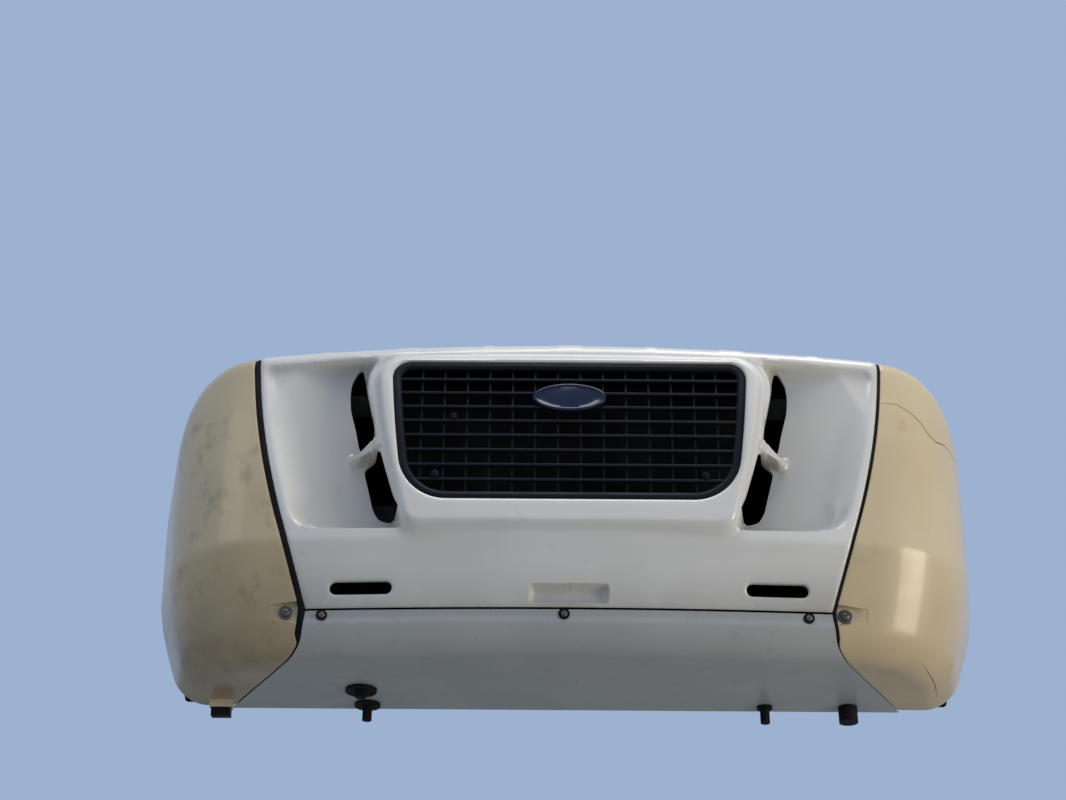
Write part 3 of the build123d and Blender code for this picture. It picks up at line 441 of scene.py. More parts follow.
@dataclass
class SkinForm:
    """Outer skin of the unit in millimetres, as a signed distance that moulded pieces are laid on."""

    # Columns: level at the wall, tilt in degrees, depth at the centre, half width at the wall
    sections: tuple[tuple[float, float, float, float], ...] = (
        (-405.0, 0.0, 366.0, 893.0), (-300.0, 2.0, 388.0, 931.0), (-255.0, 3.0, 402.0, 946.0),
        (-205.0, 5.0, 423.0, 960.0), (-150.0, 7.0, 450.0, 970.0), (70.0, 3.0, 450.0, 971.0),
        (150.0, 1.5, 447.0, 971.0), (225.0, 0.0, 441.0, 969.0), (430.0, 0.0, 411.0, 962.0))
    flare: float = math.radians(14.6)
    bow_radius: float = 6150.0
    corner_radius: float = 270.0
    crown_z: float = 383.0
    crown_edge: tuple[float, float] = (745.0, 362.0)
    crown_corner_radius: float = 200.0
    crown_corner_turn: float = math.radians(62.0)
    bend: tuple[float, float] = (-381.0, -327.0)
    floor_wall_z: float = -378.0
    top_roll: float = 34.0
    bottom_roll: float = 60.0
    softening: float = 15.0
    level_span: tuple[float, float] = (-520.0, 561.0)
    level_step: float = 2.0
    level_rounds: int = 12
    cast_rounds: int = 34
    reach: float = 1400.0

    def __post_init__(self) -> None:
        """Soften the corners of the section table and find the radius of the crown."""
        table = np.array(self.sections)
        self.levels = np.arange(*self.level_span, self.level_step)
        width = int(self.softening / self.level_step)
        kernel = np.convolve(np.ones(width) / width, np.ones(width) / width)
        self.curves = []
        for column in (1, 2, 3):
            low_slope = (table[1, column] - table[0, column]) / (table[1, 0] - table[0, 0])
            high_slope = (table[-1, column] - table[-2, column]) / (table[-1, 0] - table[-2, 0])
            raw = np.interp(self.levels, table[:, 0], table[:, column])
            raw += np.minimum(self.levels - table[0, 0], 0) * low_slope
            raw += np.maximum(self.levels - table[-1, 0], 0) * high_slope
            padded = np.pad(raw, len(kernel) // 2, mode="edge")
            self.curves.append(np.convolve(padded, kernel, mode="valid"))
        edge_x, edge_z = self.crown_edge
        drop = self.crown_z - edge_z
        self.crown_radius = (edge_x ** 2 + drop ** 2) / (2 * drop)

    def side_distance(self, x: Points, y: Points, z: Points) -> Points:
        """Signed distance to the front and sides, in the tilted plane of the section there.

        Args:
            x: Distance from the middle.
            y: Depth, with the front towards minus.
            z: Height.

        Returns:
            Negative inside, positive outside.
        """
        tilt_curve, depth_curve, width_curve = self.curves
        level = z + 0.0
        for _ in range(self.level_rounds):
            level = z + y * np.tan(np.radians(np.interp(level, self.levels, tilt_curve)))
        tilt = np.radians(np.interp(level, self.levels, tilt_curve))
        depth = np.interp(level, self.levels, depth_curve)
        half = np.interp(level, self.levels, width_curve)
        u, v = np.abs(x), -y / np.cos(tilt)
        out_u, out_v = math.cos(self.flare), math.sin(self.flare)
        side = (u - half) * out_u + v * out_v
        bow_v = depth - self.bow_radius
        bow = np.hypot(u, v - bow_v) - self.bow_radius
        start_u, start_v = half - out_u * self.corner_radius, -out_v * self.corner_radius
        reach_u, reach_v = start_u, start_v - bow_v
        along = -reach_u * out_v + reach_v * out_u
        spread = self.bow_radius - self.corner_radius
        step = -along + np.sqrt(along ** 2 - reach_u ** 2 - reach_v ** 2 + spread ** 2)
        centre_u, centre_v = start_u - out_v * step, start_v + out_u * step
        far_u, far_v = centre_u / spread, (centre_v - bow_v) / spread
        return wedge_distance(u, v, (centre_u, centre_v), self.corner_radius, (out_u, out_v), (far_u, far_v),
                              side, bow)

    def crown_height(self, x: Points) -> Points:
        """Height of the crowned top over the middle part."""
        return self.crown_z - self.crown_radius + np.sqrt(self.crown_radius ** 2 - x ** 2)

    def crown_distance(self, x: Points, z: Points) -> Points:
        """Signed distance to the outline of the top, its rounded corners and its upright sides.

        Args:
            x: Distance from the middle.
            z: Height.

        Returns:
            Negative inside, positive outside.
        """
        edge_x, edge_z = self.crown_edge
        centre_z = self.crown_z - self.crown_radius
        u = np.abs(x)
        top = np.hypot(u, z - centre_z) - self.crown_radius
        start = math.atan2(edge_z - centre_z, edge_x)
        last = (math.cos(start), math.sin(start))
        first = (math.cos(start - self.crown_corner_turn), math.sin(start - self.crown_corner_turn))
        centre = (edge_x - last[0] * self.crown_corner_radius, edge_z - last[1] * self.crown_corner_radius)
        side = (u - centre[0]) * first[0] + (z - centre[1]) * first[1] - self.crown_corner_radius
        return wedge_distance(u, z, centre, self.crown_corner_radius, first, last, side, top)

    def floor_distance(self, y: Points, z: Points) -> Points:
        """Signed distance to the sloping floor."""
        run, rise = self.bend[0], self.bend[1] - self.floor_wall_z
        length = math.hypot(run, rise)
        return (-y * rise + (z - self.floor_wall_z) * run) / length

    def distance(self, points: Points) -> Points:
        """Signed distance of points, one a row, to the whole skin with its rolled edges."""
        x, y, z = points[:, 0], points[:, 1], points[:, 2]
        upper = roll(self.side_distance(x, y, z), self.crown_distance(x, z), self.top_roll)
        return roll(upper, self.floor_distance(y, z), self.bottom_roll)

    def cast(self, starts: Points, ways: Points) -> Points:
        """Find where rays from inside leave the skin.

        Args:
            starts: Points inside, or one point for all rays.
            ways: Directions of the rays, or one for all, of any length.

        Returns:
            The points on the skin, one a row.
        """
        starts, ways = np.broadcast_arrays(*(np.atleast_2d(rows).astype(float) for rows in (starts, ways)))
        unit = ways / np.linalg.norm(ways, axis=1)[:, None]
        low, high = np.zeros(len(starts)), np.full(len(starts), self.reach)
        for _ in range(self.cast_rounds):
            middle = (low + high) / 2
            inside = self.distance(starts + unit * middle[:, None]) < 0
            low, high = np.where(inside, middle, low), np.where(inside, high, middle)
        return starts + unit * low[:, None]


@dataclass
class Lobe:
    """Right half of a closed outline on the front: level top and foot, bulging side, rounded corners."""

    top: tuple[float, float]
    middle: tuple[float, float]
    foot: tuple[float, float]
    top_radius: float
    foot_radius: float

    def __post_init__(self) -> None:
        """Find the side's arc and the centres of the rounded corners."""
        (ax, az), (bx, bz), (cx, cz) = self.top, self.middle, self.foot
        d = 2 * (ax * (bz - cz) + bx * (cz - az) + cx * (az - bz))
        a2, b2, c2 = ax * ax + az * az, bx * bx + bz * bz, cx * cx + cz * cz
        self.cx = (a2 * (bz - cz) + b2 * (cz - az) + c2 * (az - bz)) / d
        self.cz = (a2 * (cx - bx) + b2 * (ax - cx) + c2 * (bx - ax)) / d
        self.radius = math.hypot(ax - self.cx, az - self.cz)
        self.high_z = self.top[1] - self.top_radius
        self.low_z = self.foot[1] + self.foot_radius
        self.high_x = self.cx + math.sqrt((self.radius - self.top_radius) ** 2 - (self.high_z - self.cz) ** 2)
        self.low_x = self.cx + math.sqrt((self.radius - self.foot_radius) ** 2 - (self.low_z - self.cz) ** 2)
        self.high_angle = math.atan2(self.high_z - self.cz, self.high_x - self.cx)
        self.low_angle = math.atan2(self.low_z - self.cz, self.low_x - self.cx)

    def distance(self, x: Points, z: Points) -> Points:
        """Signed distance to the outline.

        Args:
            x: Distance from the middle.
            z: Height.

        Returns:
            Negative inside, positive outside.
        """
        side = np.hypot(x - self.cx, z - self.cz) - self.radius
        flat = np.maximum(z - self.top[1], self.foot[1] - z)
        result = np.maximum(flat, side)
        for centre_x, centre_z, radius, angle, up in (
                (self.high_x, self.high_z, self.top_radius, self.high_angle, 1),
                (self.low_x, self.low_z, self.foot_radius, self.low_angle, -1)):
            dx, dz = x - centre_x, z - centre_z
            in_corner = (dx > 0) & (up * (dz * math.cos(angle) - dx * math.sin(angle)) > 0)
            result = np.where(in_corner, np.hypot(dx, dz) - radius, result)
        return result

    def loop(self, grow: float, step: float) -> list[tuple[float, float]]:
        """Walk along the outline from its top to its foot.

        Args:
            grow: How far the walk stays outside the outline.
            step: Distance between the points.

        Returns:
            The points of the right half.
        """
        points = []
        top_z, foot_z = self.top[1] + grow, self.foot[1] - grow
        points += [(x, top_z) for x in np.arange(0, self.high_x - step / 2, step)]
        for centre_x, centre_z, radius, start, end in (
                (self.high_x, self.high_z, self.top_radius + grow, math.pi / 2, self.high_angle),
                (self.cx, self.cz, self.radius + grow, self.high_angle, self.low_angle),
                (self.low_x, self.low_z, self.foot_radius + grow, self.low_angle, -math.pi / 2)):
            count = max(2, round(abs(end - start) * radius / step))
            arc = [start + (end - start) * i / count for i in range(count)]
            points += [(centre_x + radius * math.cos(a), centre_z + radius * math.sin(a)) for a in arc]
        points += [(x, foot_z) for x in np.arange(self.low_x, 0, -step)]
        points.append((0.0, foot_z))
        return points


SKIN = SkinForm()
# Side edge of the front cover, and below it the chin's edge as height and half width
FLANK = Lobe((709.0, 330.0), (680.0, 128.0), (626.0, -75.0), 0.0, 0.0)
CHIN_EDGE: Profile = ((-290.0, 586.0), (-240.0, 578.0), (-75.0, 626.0))
# Edge of the lower panel's floor as depth and half width
PANEL_EDGE: Profile = ((-357.0, 585.5), (-350.0, 587.5), (-343.0, 590.5), (-334.0, 595.5), (-324.0, 602.0),
                       (-308.0, 611.5), (-291.0, 622.0), (-208.0, 667.5), (-111.0, 722.0), (0.0, 783.5))
# Right half of the opening that the grille fills
GRILLE_OPENING = Lobe((402.0, 325.0), (389.0, 160.0), (366.0, -13.0), 42.0, 108.0)
# Lower bend: its half width, the place that rays to it start from, and their turn from down to ahead
BEND_X, BEND_Y, BEND_Z = 595.0, -322.0, -286.0
BEND_DEGREES = np.linspace(0, 84, 18)


def seam_x(z: Points) -> Points:
    """Find the half width of the front cover, seen from the front.

    Args:
        z: Height.

    Returns:
        Half width there.
    """
    clipped = np.clip(z, FLANK.foot[1], FLANK.top[1])
    arc = FLANK.cx + np.sqrt(FLANK.radius ** 2 - (clipped - FLANK.cz) ** 2)
    return np.where(z < FLANK.foot[1], np.interp(z, *zip(*CHIN_EDGE)), arc)


def panel_x(y: Points) -> Points:
    """Half width of the lower panel's floor at a depth."""
    return np.interp(y, *zip(*PANEL_EDGE))


def bend_run(gap: float, extra: float = 0.0) -> Points:
    """Follow the seam between the lower panel and a door where it turns from the floor to the front.

    Args:
        gap: Distance from the panel's own edge, which narrows towards the floor.
        extra: Distance added to it that stays the same.

    Returns:
        Points from the floor to the front.
    """
    turn = np.radians(BEND_DEGREES)
    ways = points_at(0.0, -np.sin(turn), -np.cos(turn))
    opened = ease(BEND_DEGREES, 25, BEND_DEGREES[-1])
    spread = gap * (FLOOR_GAP_SHARE + (1 - FLOOR_GAP_SHARE) * opened) + extra
    x = BEND_X + gap
    for _ in range(3):
        found = SKIN.cast(points_at(x, BEND_Y, BEND_Z), ways)
        x = panel_x(found[:, 1]) + spread
    return found


def floor_run(ys: Points, gap: float, extra: float = 0.0) -> Points:
    """Follow the same seam along the floor at a row of depths, with the same two distances."""
    return SKIN.cast(points_at(panel_x(ys) + gap * FLOOR_GAP_SHARE + extra, ys, LOW_Z), DOWN)


def front_run(levels: Points, gap: float) -> Points:
    """Follow the seam beside the front cover at a row of heights."""
    return SKIN.cast(points_at(seam_x(levels) + gap, INSIDE_Y, levels), AHEAD)


def crest_run(seam_end: Points, degrees: Points) -> Points:
    """Follow the seam over the rolled top edge.

    Args:
        seam_end: Upper end of the seam on the front.
        degrees: Turn from straight ahead to straight up.

    Returns:
        Points from the front to the top.
    """
    turn = np.radians(degrees)
    return SKIN.cast(seam_end + (0, 40, -6), points_at(0.0, -np.cos(turn), np.sin(turn)))


def along(points: Points, count: int) -> Points:
    """Spread points evenly along a polyline.

    Args:
        points: The polyline.
        count: How many points are wanted.

    Returns:
        That many points, with both ends kept.
    """
    lengths = np.concatenate([[0], np.cumsum(np.linalg.norm(np.diff(points, axis=0), axis=1))])
    places = np.linspace(0, lengths[-1], count)
    return np.stack([np.interp(places, lengths, points[:, axis]) for axis in range(points.shape[1])], axis=1)


def deselect() -> None:
    """Leave edit mode and select nothing."""
    if bpy.context.object and bpy.context.object.mode != "OBJECT":
        bpy.ops.object.mode_set(mode="OBJECT")
    bpy.ops.object.select_all(action="DESELECT")


def select_only(*pieces: bpy.types.Object) -> None:
    """Select pieces alone and make the first of them active."""
    deselect()
    for piece in pieces:
        piece.select_set(True)
    bpy.context.view_layer.objects.active = pieces[0]


def in_edit_mode(piece: bpy.types.Object, *operators: tuple[Callable, dict[str, Any]]) -> None:
    """Run mesh operators on the whole of a piece.

    Args:
        piece: The piece, selected all over first.
        *operators: Each operator with its settings.
    """
    select_only(piece)
    bpy.ops.object.mode_set(mode="EDIT")
    bpy.ops.mesh.select_all(action="SELECT")
    for operator, settings in operators:
        operator(**settings)
    bpy.ops.object.mode_set(mode="OBJECT")


def apply_modifier(piece: bpy.types.Object, kind: str, **settings: Any) -> None:
    """Add a modifier with its settings and apply it.

    Args:
        piece: The piece, made active.
        kind: Blender's name of the modifier.
        **settings: Values of the modifier.
    """
    select_only(piece)
    modifier = piece.modifiers.new(kind.lower(), kind)
    for key, value in settings.items():
        setattr(modifier, key, value)
    bpy.ops.object.modifier_apply(modifier=modifier.name)


def give_wall(sheet: bpy.types.Object, wall: float) -> None:
    """Thicken a sheet inwards by a wall in millimetres."""
    apply_modifier(sheet, "SOLIDIFY", thickness=wall * MM, offset=-1)


def round_edges(piece: bpy.types.Object, radius: float, steps: int, degrees: float) -> None:
    """Bevel the edges that are sharper than an angle."""
    apply_modifier(piece, "BEVEL", width=radius * MM, segments=steps, limit_method="ANGLE",
                   angle_limit=math.radians(degrees))


def cut_out(piece: bpy.types.Object, cutter: bpy.types.Object) -> None:
    """Cut one piece out of another and remove the cutter."""
    apply_modifier(piece, "BOOLEAN", operation="DIFFERENCE", object=cutter, solver="EXACT")
    bpy.data.objects.remove(cutter)


def smooth(piece: bpy.types.Object, degrees: float = 40.0) -> None:
    """Shade a piece smooth across edges flatter than an angle."""
    select_only(piece)
    bpy.ops.object.shade_smooth_by_angle(angle=math.radians(degrees))


def face_towards(sheet: bpy.types.Object, outward: tuple[float, float, float]) -> None:
    """Turn a sheet's faces over if on the whole they look away from a direction."""
    facing = sum((face.normal * face.area for face in sheet.data.polygons), Vector())
    if facing.dot(Vector(outward)) < 0:
        sheet.data.flip_normals()


def grid_sheet(name: str, points: Points, outward: tuple[float, float, float]) -> bpy.types.Object:
    """Lay a grid primitive on a net of points.

    Args:
        name: Name of the piece.
        points: Rows of points in millimetres.
        outward: Direction that the sheet's faces look to on the whole.

    Returns:
        The sheet as an object.
    """
    rows, columns = points.shape[:2]
    deselect()
    bpy.ops.mesh.primitive_grid_add(x_subdivisions=columns - 1, y_subdivisions=rows - 1, size=1)
    sheet = bpy.context.object
    sheet.name = sheet.data.name = name
    sheet.data.vertices.foreach_set("co", (points.reshape(-1, 3) * MM).ravel())
    sheet.data.update()
    face_towards(sheet, outward)
    return sheet


def mesh_piece(name: str, points: Points, faces: list[tuple[int, ...]]) -> bpy.types.Object:
    """Make a piece from its points in millimetres and the corners of each face.

    Args:
        name: Name of the piece.
        points: Points in millimetres.
        faces: Corners of each face.

    Returns:
        The piece.
    """
    mesh = bpy.data.meshes.new(name)
    mesh.from_pydata((points * MM).tolist(), [], faces)
    piece = bpy.data.objects.new(name, mesh)
    bpy.context.scene.collection.objects.link(piece)
    return piece


def solid_from(name: str, points: Points, faces: list[tuple[int, ...]]) -> bpy.types.Object:
    """Make a closed piece as mesh_piece does, with its faces outwards."""
    piece = mesh_piece(name, points, faces)
    in_edit_mode(piece, (bpy.ops.mesh.normals_make_consistent, {"inside": False}))
    return piece


def band_faces(rows: int, count: int, close_rows: bool = False,
               close_row: bool = True) -> list[tuple[int, ...]]:
    """Join rows of points with quads.

    Args:
        rows: How many rows.
        count: How many points in each.
        close_rows: Whether the last row joins the first.
        close_row: Whether the last point of each row joins its first.

    Returns:
        Corners of each quad.
    """
    return [(r * count + i, r * count + (i + 1) % count,
             (r + 1) % rows * count + (i + 1) % count, (r + 1) % rows * count + i)
            for r in range(rows if close_rows else rows - 1)
            for i in range(count if close_row else count - 1)]


def block(place: tuple[float, float, float], size: tuple[float, float, float]) -> bpy.types.Object:
    """Add a block of a size at a place, both in millimetres, to be shaped further or to cut with.

    Args:
        place: Its middle.
        size: Its three sides.

    Returns:
        The block, with its place in its mesh.
    """
    deselect()
    bpy.ops.mesh.primitive_cube_add(size=1, location=[c * MM for c in place], scale=[s * MM for s in size])
    bpy.ops.object.transform_apply(location=True, rotation=True, scale=True)
    return bpy.context.object


def turned(name: str, profile: Profile, place: tuple[float, float, float]) -> bpy.types.Object:
    """Extrude a profile, ring by ring, into a round fitting that stands out towards the front.

    Args:
        name: Name of the piece.
        profile: Radius and height in millimetres, from the foot at height 0 to the top.
        place: Where the foot stands, in millimetres.

    Returns:
        The fitting.
    """
    deselect()
    radius, height = profile[0]
    bpy.ops.mesh.primitive_circle_add(vertices=28, radius=radius * MM, fill_type="NGON", location=(0, 0, 0))
    piece = bpy.context.object
    piece.name = piece.data.name = name
    bpy.ops.object.mode_set(mode="EDIT")
    for next_radius, next_height in profile[1:]:
        next_radius = max(next_radius, 0.02)
        rise, share = (next_height - height) * MM, next_radius / radius
        bpy.ops.mesh.extrude_region_move(TRANSFORM_OT_translate={"value": (0, 0, rise)})
        bpy.ops.transform.resize(value=(share, share, 1), center_override=(0, 0, next_height * MM))
        radius, height = next_radius, next_height
    in_edit_mode(piece, (bpy.ops.mesh.normals_make_consistent, {"inside": False}))
    turn = Vector(AHEAD).to_track_quat("Z", "X").to_matrix().to_4x4()
    piece.data.transform(Matrix.Translation(Vector(place) * MM) @ turn)
    piece.data.update()
    smooth(piece, 35)
    return piece


def dress(piece: bpy.types.Object, finish: Finish) -> None:
    """Give a piece its finish."""
    piece.data.materials.clear()
    piece.data.materials.append(material_of(finish))


MATERIALS: dict[str, bpy.types.Material] = {}


def material_of(finish: Finish) -> bpy.types.Material:
    """The one material of a finish, built on its first use."""
    if finish.name not in MATERIALS:
        MATERIALS[finish.name] = finish.material()
    return MATERIALS[finish.name]


def finish_piece(piece: bpy.types.Object, finish: Finish, body: str, *nodes: str, slot: str = "") -> None:
    """Dress a piece, set it on its body and hide the nodes it stands for.

    Args:
        piece: The new piece.
        finish: What it is made of.
        body: Body that it moves with.
        *nodes: CAD nodes that it replaces.
        slot: Name of a material slot, if it has one; not used.
    """
    dress(piece, finish)
    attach(piece, body)
    if nodes:
        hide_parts(*nodes)
    log.info("made %s: %d faces", piece.name, len(piece.data.polygons))


def rounded(corners: Profile, rounds: int = 3, cut: float = 0.12) -> Points:
    """Round a closed polygon by cutting its corners a number of times.

    Args:
        corners: The polygon.
        rounds: How many times each corner is cut.
        cut: Share of each side that a cut takes off at an end.

    Returns:
        Points spread evenly along the rounded outline.
    """
    points = np.array(corners, dtype=float)
    for _ in range(rounds):
        after = np.roll(points, -1, axis=0)
        points = np.stack([points * (1 - cut) + after * cut, points * cut + after * (1 - cut)], axis=1)
        points = points.reshape(-1, 2)
    return along(np.concatenate([points, points[:1]]), max(24, len(points) // 2))[:-1]


def box_loop(box: tuple[float, float, float, float], radius: float, grow: float, step: float) -> Points:
    """Walk along a rounded rectangle.

    Args:
        box: Centre, half width and half height.
        radius: Radius of its corners.
        grow: How far the walk stays outside it.
        step: Distance between the points.

    Returns:
        The points, once round.
    """
    half_x, half_z, corner = box[2] + grow, box[3] + grow, radius + grow
    points = []
    for turn, sx, sz in ((0, 1, 1), (90, -1, 1), (180, -1, -1), (270, 1, -1)):
        for angle in np.radians(np.linspace(turn, turn + 90, 6)):
            points.append((box[0] + sx * (half_x - corner) + corner * math.cos(angle),
                           box[1] + sz * (half_z - corner) + corner * math.sin(angle)))
    loop = np.array(points + points[:1])
    length = np.linalg.norm(np.diff(loop, axis=0), axis=1).sum()
    return along(loop, max(8, int(length / step)))[:-1]


def thin(taken: Points, extra: Points, to_taken: float, apart: float) -> Points:
    """Keep the extra points that stand clear of those taken and of each other.

    Args:
        taken: Points that stay.
        extra: Points offered, of which the earlier ones come first.
        to_taken: Least distance to a point that stays.
        apart: Least distance between two extra points.

    Returns:
        The extra points kept.
    """
    cells: dict[tuple[int, int], list[tuple[float, float, bool]]] = {}
    size = max(to_taken, apart)
    for px, py in taken:
        cells.setdefault((int(px // size), int(py // size)), []).append((px, py, True))
    kept = []
    for px, py in extra:
        cx, cy = int(px // size), int(py // size)
        clear = True
        for i in (cx - 1, cx, cx + 1):
            for j in (cy - 1, cy, cy + 1):
                for qx, qy, is_taken in cells.get((i, j), ()):
                    limit = to_taken if is_taken else apart
                    if (px - qx) ** 2 + (py - qy) ** 2 < limit * limit:
                        clear = False
        if clear:
            kept.append((px, py))
            cells.setdefault((cx, cy), []).append((px, py, False))
    return np.array(kept)


def contains(loop: Points, points: Points) -> Points:
    """Find which points lie inside a closed polygon.

    Args:
        loop: Corners of the polygon.
        points: Points to test.

    Returns:
        True or false for each point.
    """
    inside = np.zeros(len(points), dtype=bool)
    ahead = np.roll(loop, -1, axis=0)
    for (ax, ay), (bx, by) in zip(loop, ahead):
        if ay != by:
            crosses = (ay > points[:, 1]) != (by > points[:, 1])
            at = ax + (points[:, 1] - ay) * (bx - ax) / (by - ay)
            inside ^= crosses & (points[:, 0] < at)
    return inside


def joined_edges(loops: list[Points]) -> list[tuple[int, int]]:
    """Join the points of each closed loop with edges, the loops' points being counted on through."""
    edges, start = [], 0
    for loop in loops:
        edges += [(start + i, start + (i + 1) % len(loop)) for i in range(len(loop))]
        start += len(loop)
    return edges


@dataclass
class LowerPanel:
    """Sheet under the cover: joggled top flange, upright front, soft bend and floor back to the wall."""

    top_z: float = -244.0
    back_y: float = -6.0
    joggle: tuple[float, float, float] = (-257.0, -273.0, 4.0)
    thickness: float = 3.0
    screw_xs: tuple[float, ...] = (-542.0, -11.0, 526.0)
    screw_z: float = -253.5
    washer: Profile = ((12.5, 0), (12.5, 1.5), (11.5, 2.4), (8.5, 2.4))
    washer_sunk: float = 3.5
    screw: Profile = ((7.5, 0), (7.5, 2.0), (6.8, 3.6), (5.0, 4.8), (2.5, 5.4), (0, 5.5))
    screw_sunk: float = 2.5
    screw_off: tuple[float, float] = (0.4, -0.3)
    columns: int = 81

    def build(self) -> None:
        """Make the panel and its screws."""
        panel = grid_sheet("lower_panel_sheet", self.net(), (0, -1, -1))
        give_wall(panel, self.thickness)
        round_edges(panel, 0.8, 1, 60)
        smooth(panel)
        finish_piece(panel, PANEL_PAINT, "unit", "lower_panel", slot="panel_paint")
        for number, x in enumerate(self.screw_xs, start=1):
            y = SKIN.cast((x, INSIDE_Y, self.screw_z), AHEAD)[0, 1]
            washer = turned(f"panel_screw_washer_{number}", self.washer,
                            (x, y + self.washer_sunk, self.screw_z))
            finish_piece(washer, SEAL_RUBBER, "unit")
            screw = turned(f"panel_screw_{number}", self.screw,
                           (x + self.screw_off[0], y + self.screw_sunk, self.screw_z + self.screw_off[1]))
            finish_piece(screw, DULL_CASTING, "unit")

    def net(self) -> Points:
        """Lay the sheet on the skin.

        Returns:
            Rows of points from the top flange to the wall.
        """
        u = np.linspace(-1, 1, self.columns)
        bend = bend_run(0.0)
        rows = []
        high, low, step = self.joggle
        for z in np.linspace(self.top_z, bend[-1, 2] + 3, 14):
            row = SKIN.cast(points_at(seam_x(z) * u, INSIDE_Y, z), AHEAD)
            row[:, 1] += step * ease(z, low, high)
            rows.append(row)
        for turn, half in zip(np.radians(BEND_DEGREES[::-1]), bend[::-1, 0]):
            rows.append(SKIN.cast(points_at(half * u, BEND_Y, BEND_Z), (0, -math.sin(turn), -math.cos(turn))))
        for y in np.linspace(bend[0, 1] + 4, self.back_y, 40):
            rows.append(SKIN.cast(points_at(panel_x(y) * u, y, LOW_Z), DOWN))
        return np.array(rows)


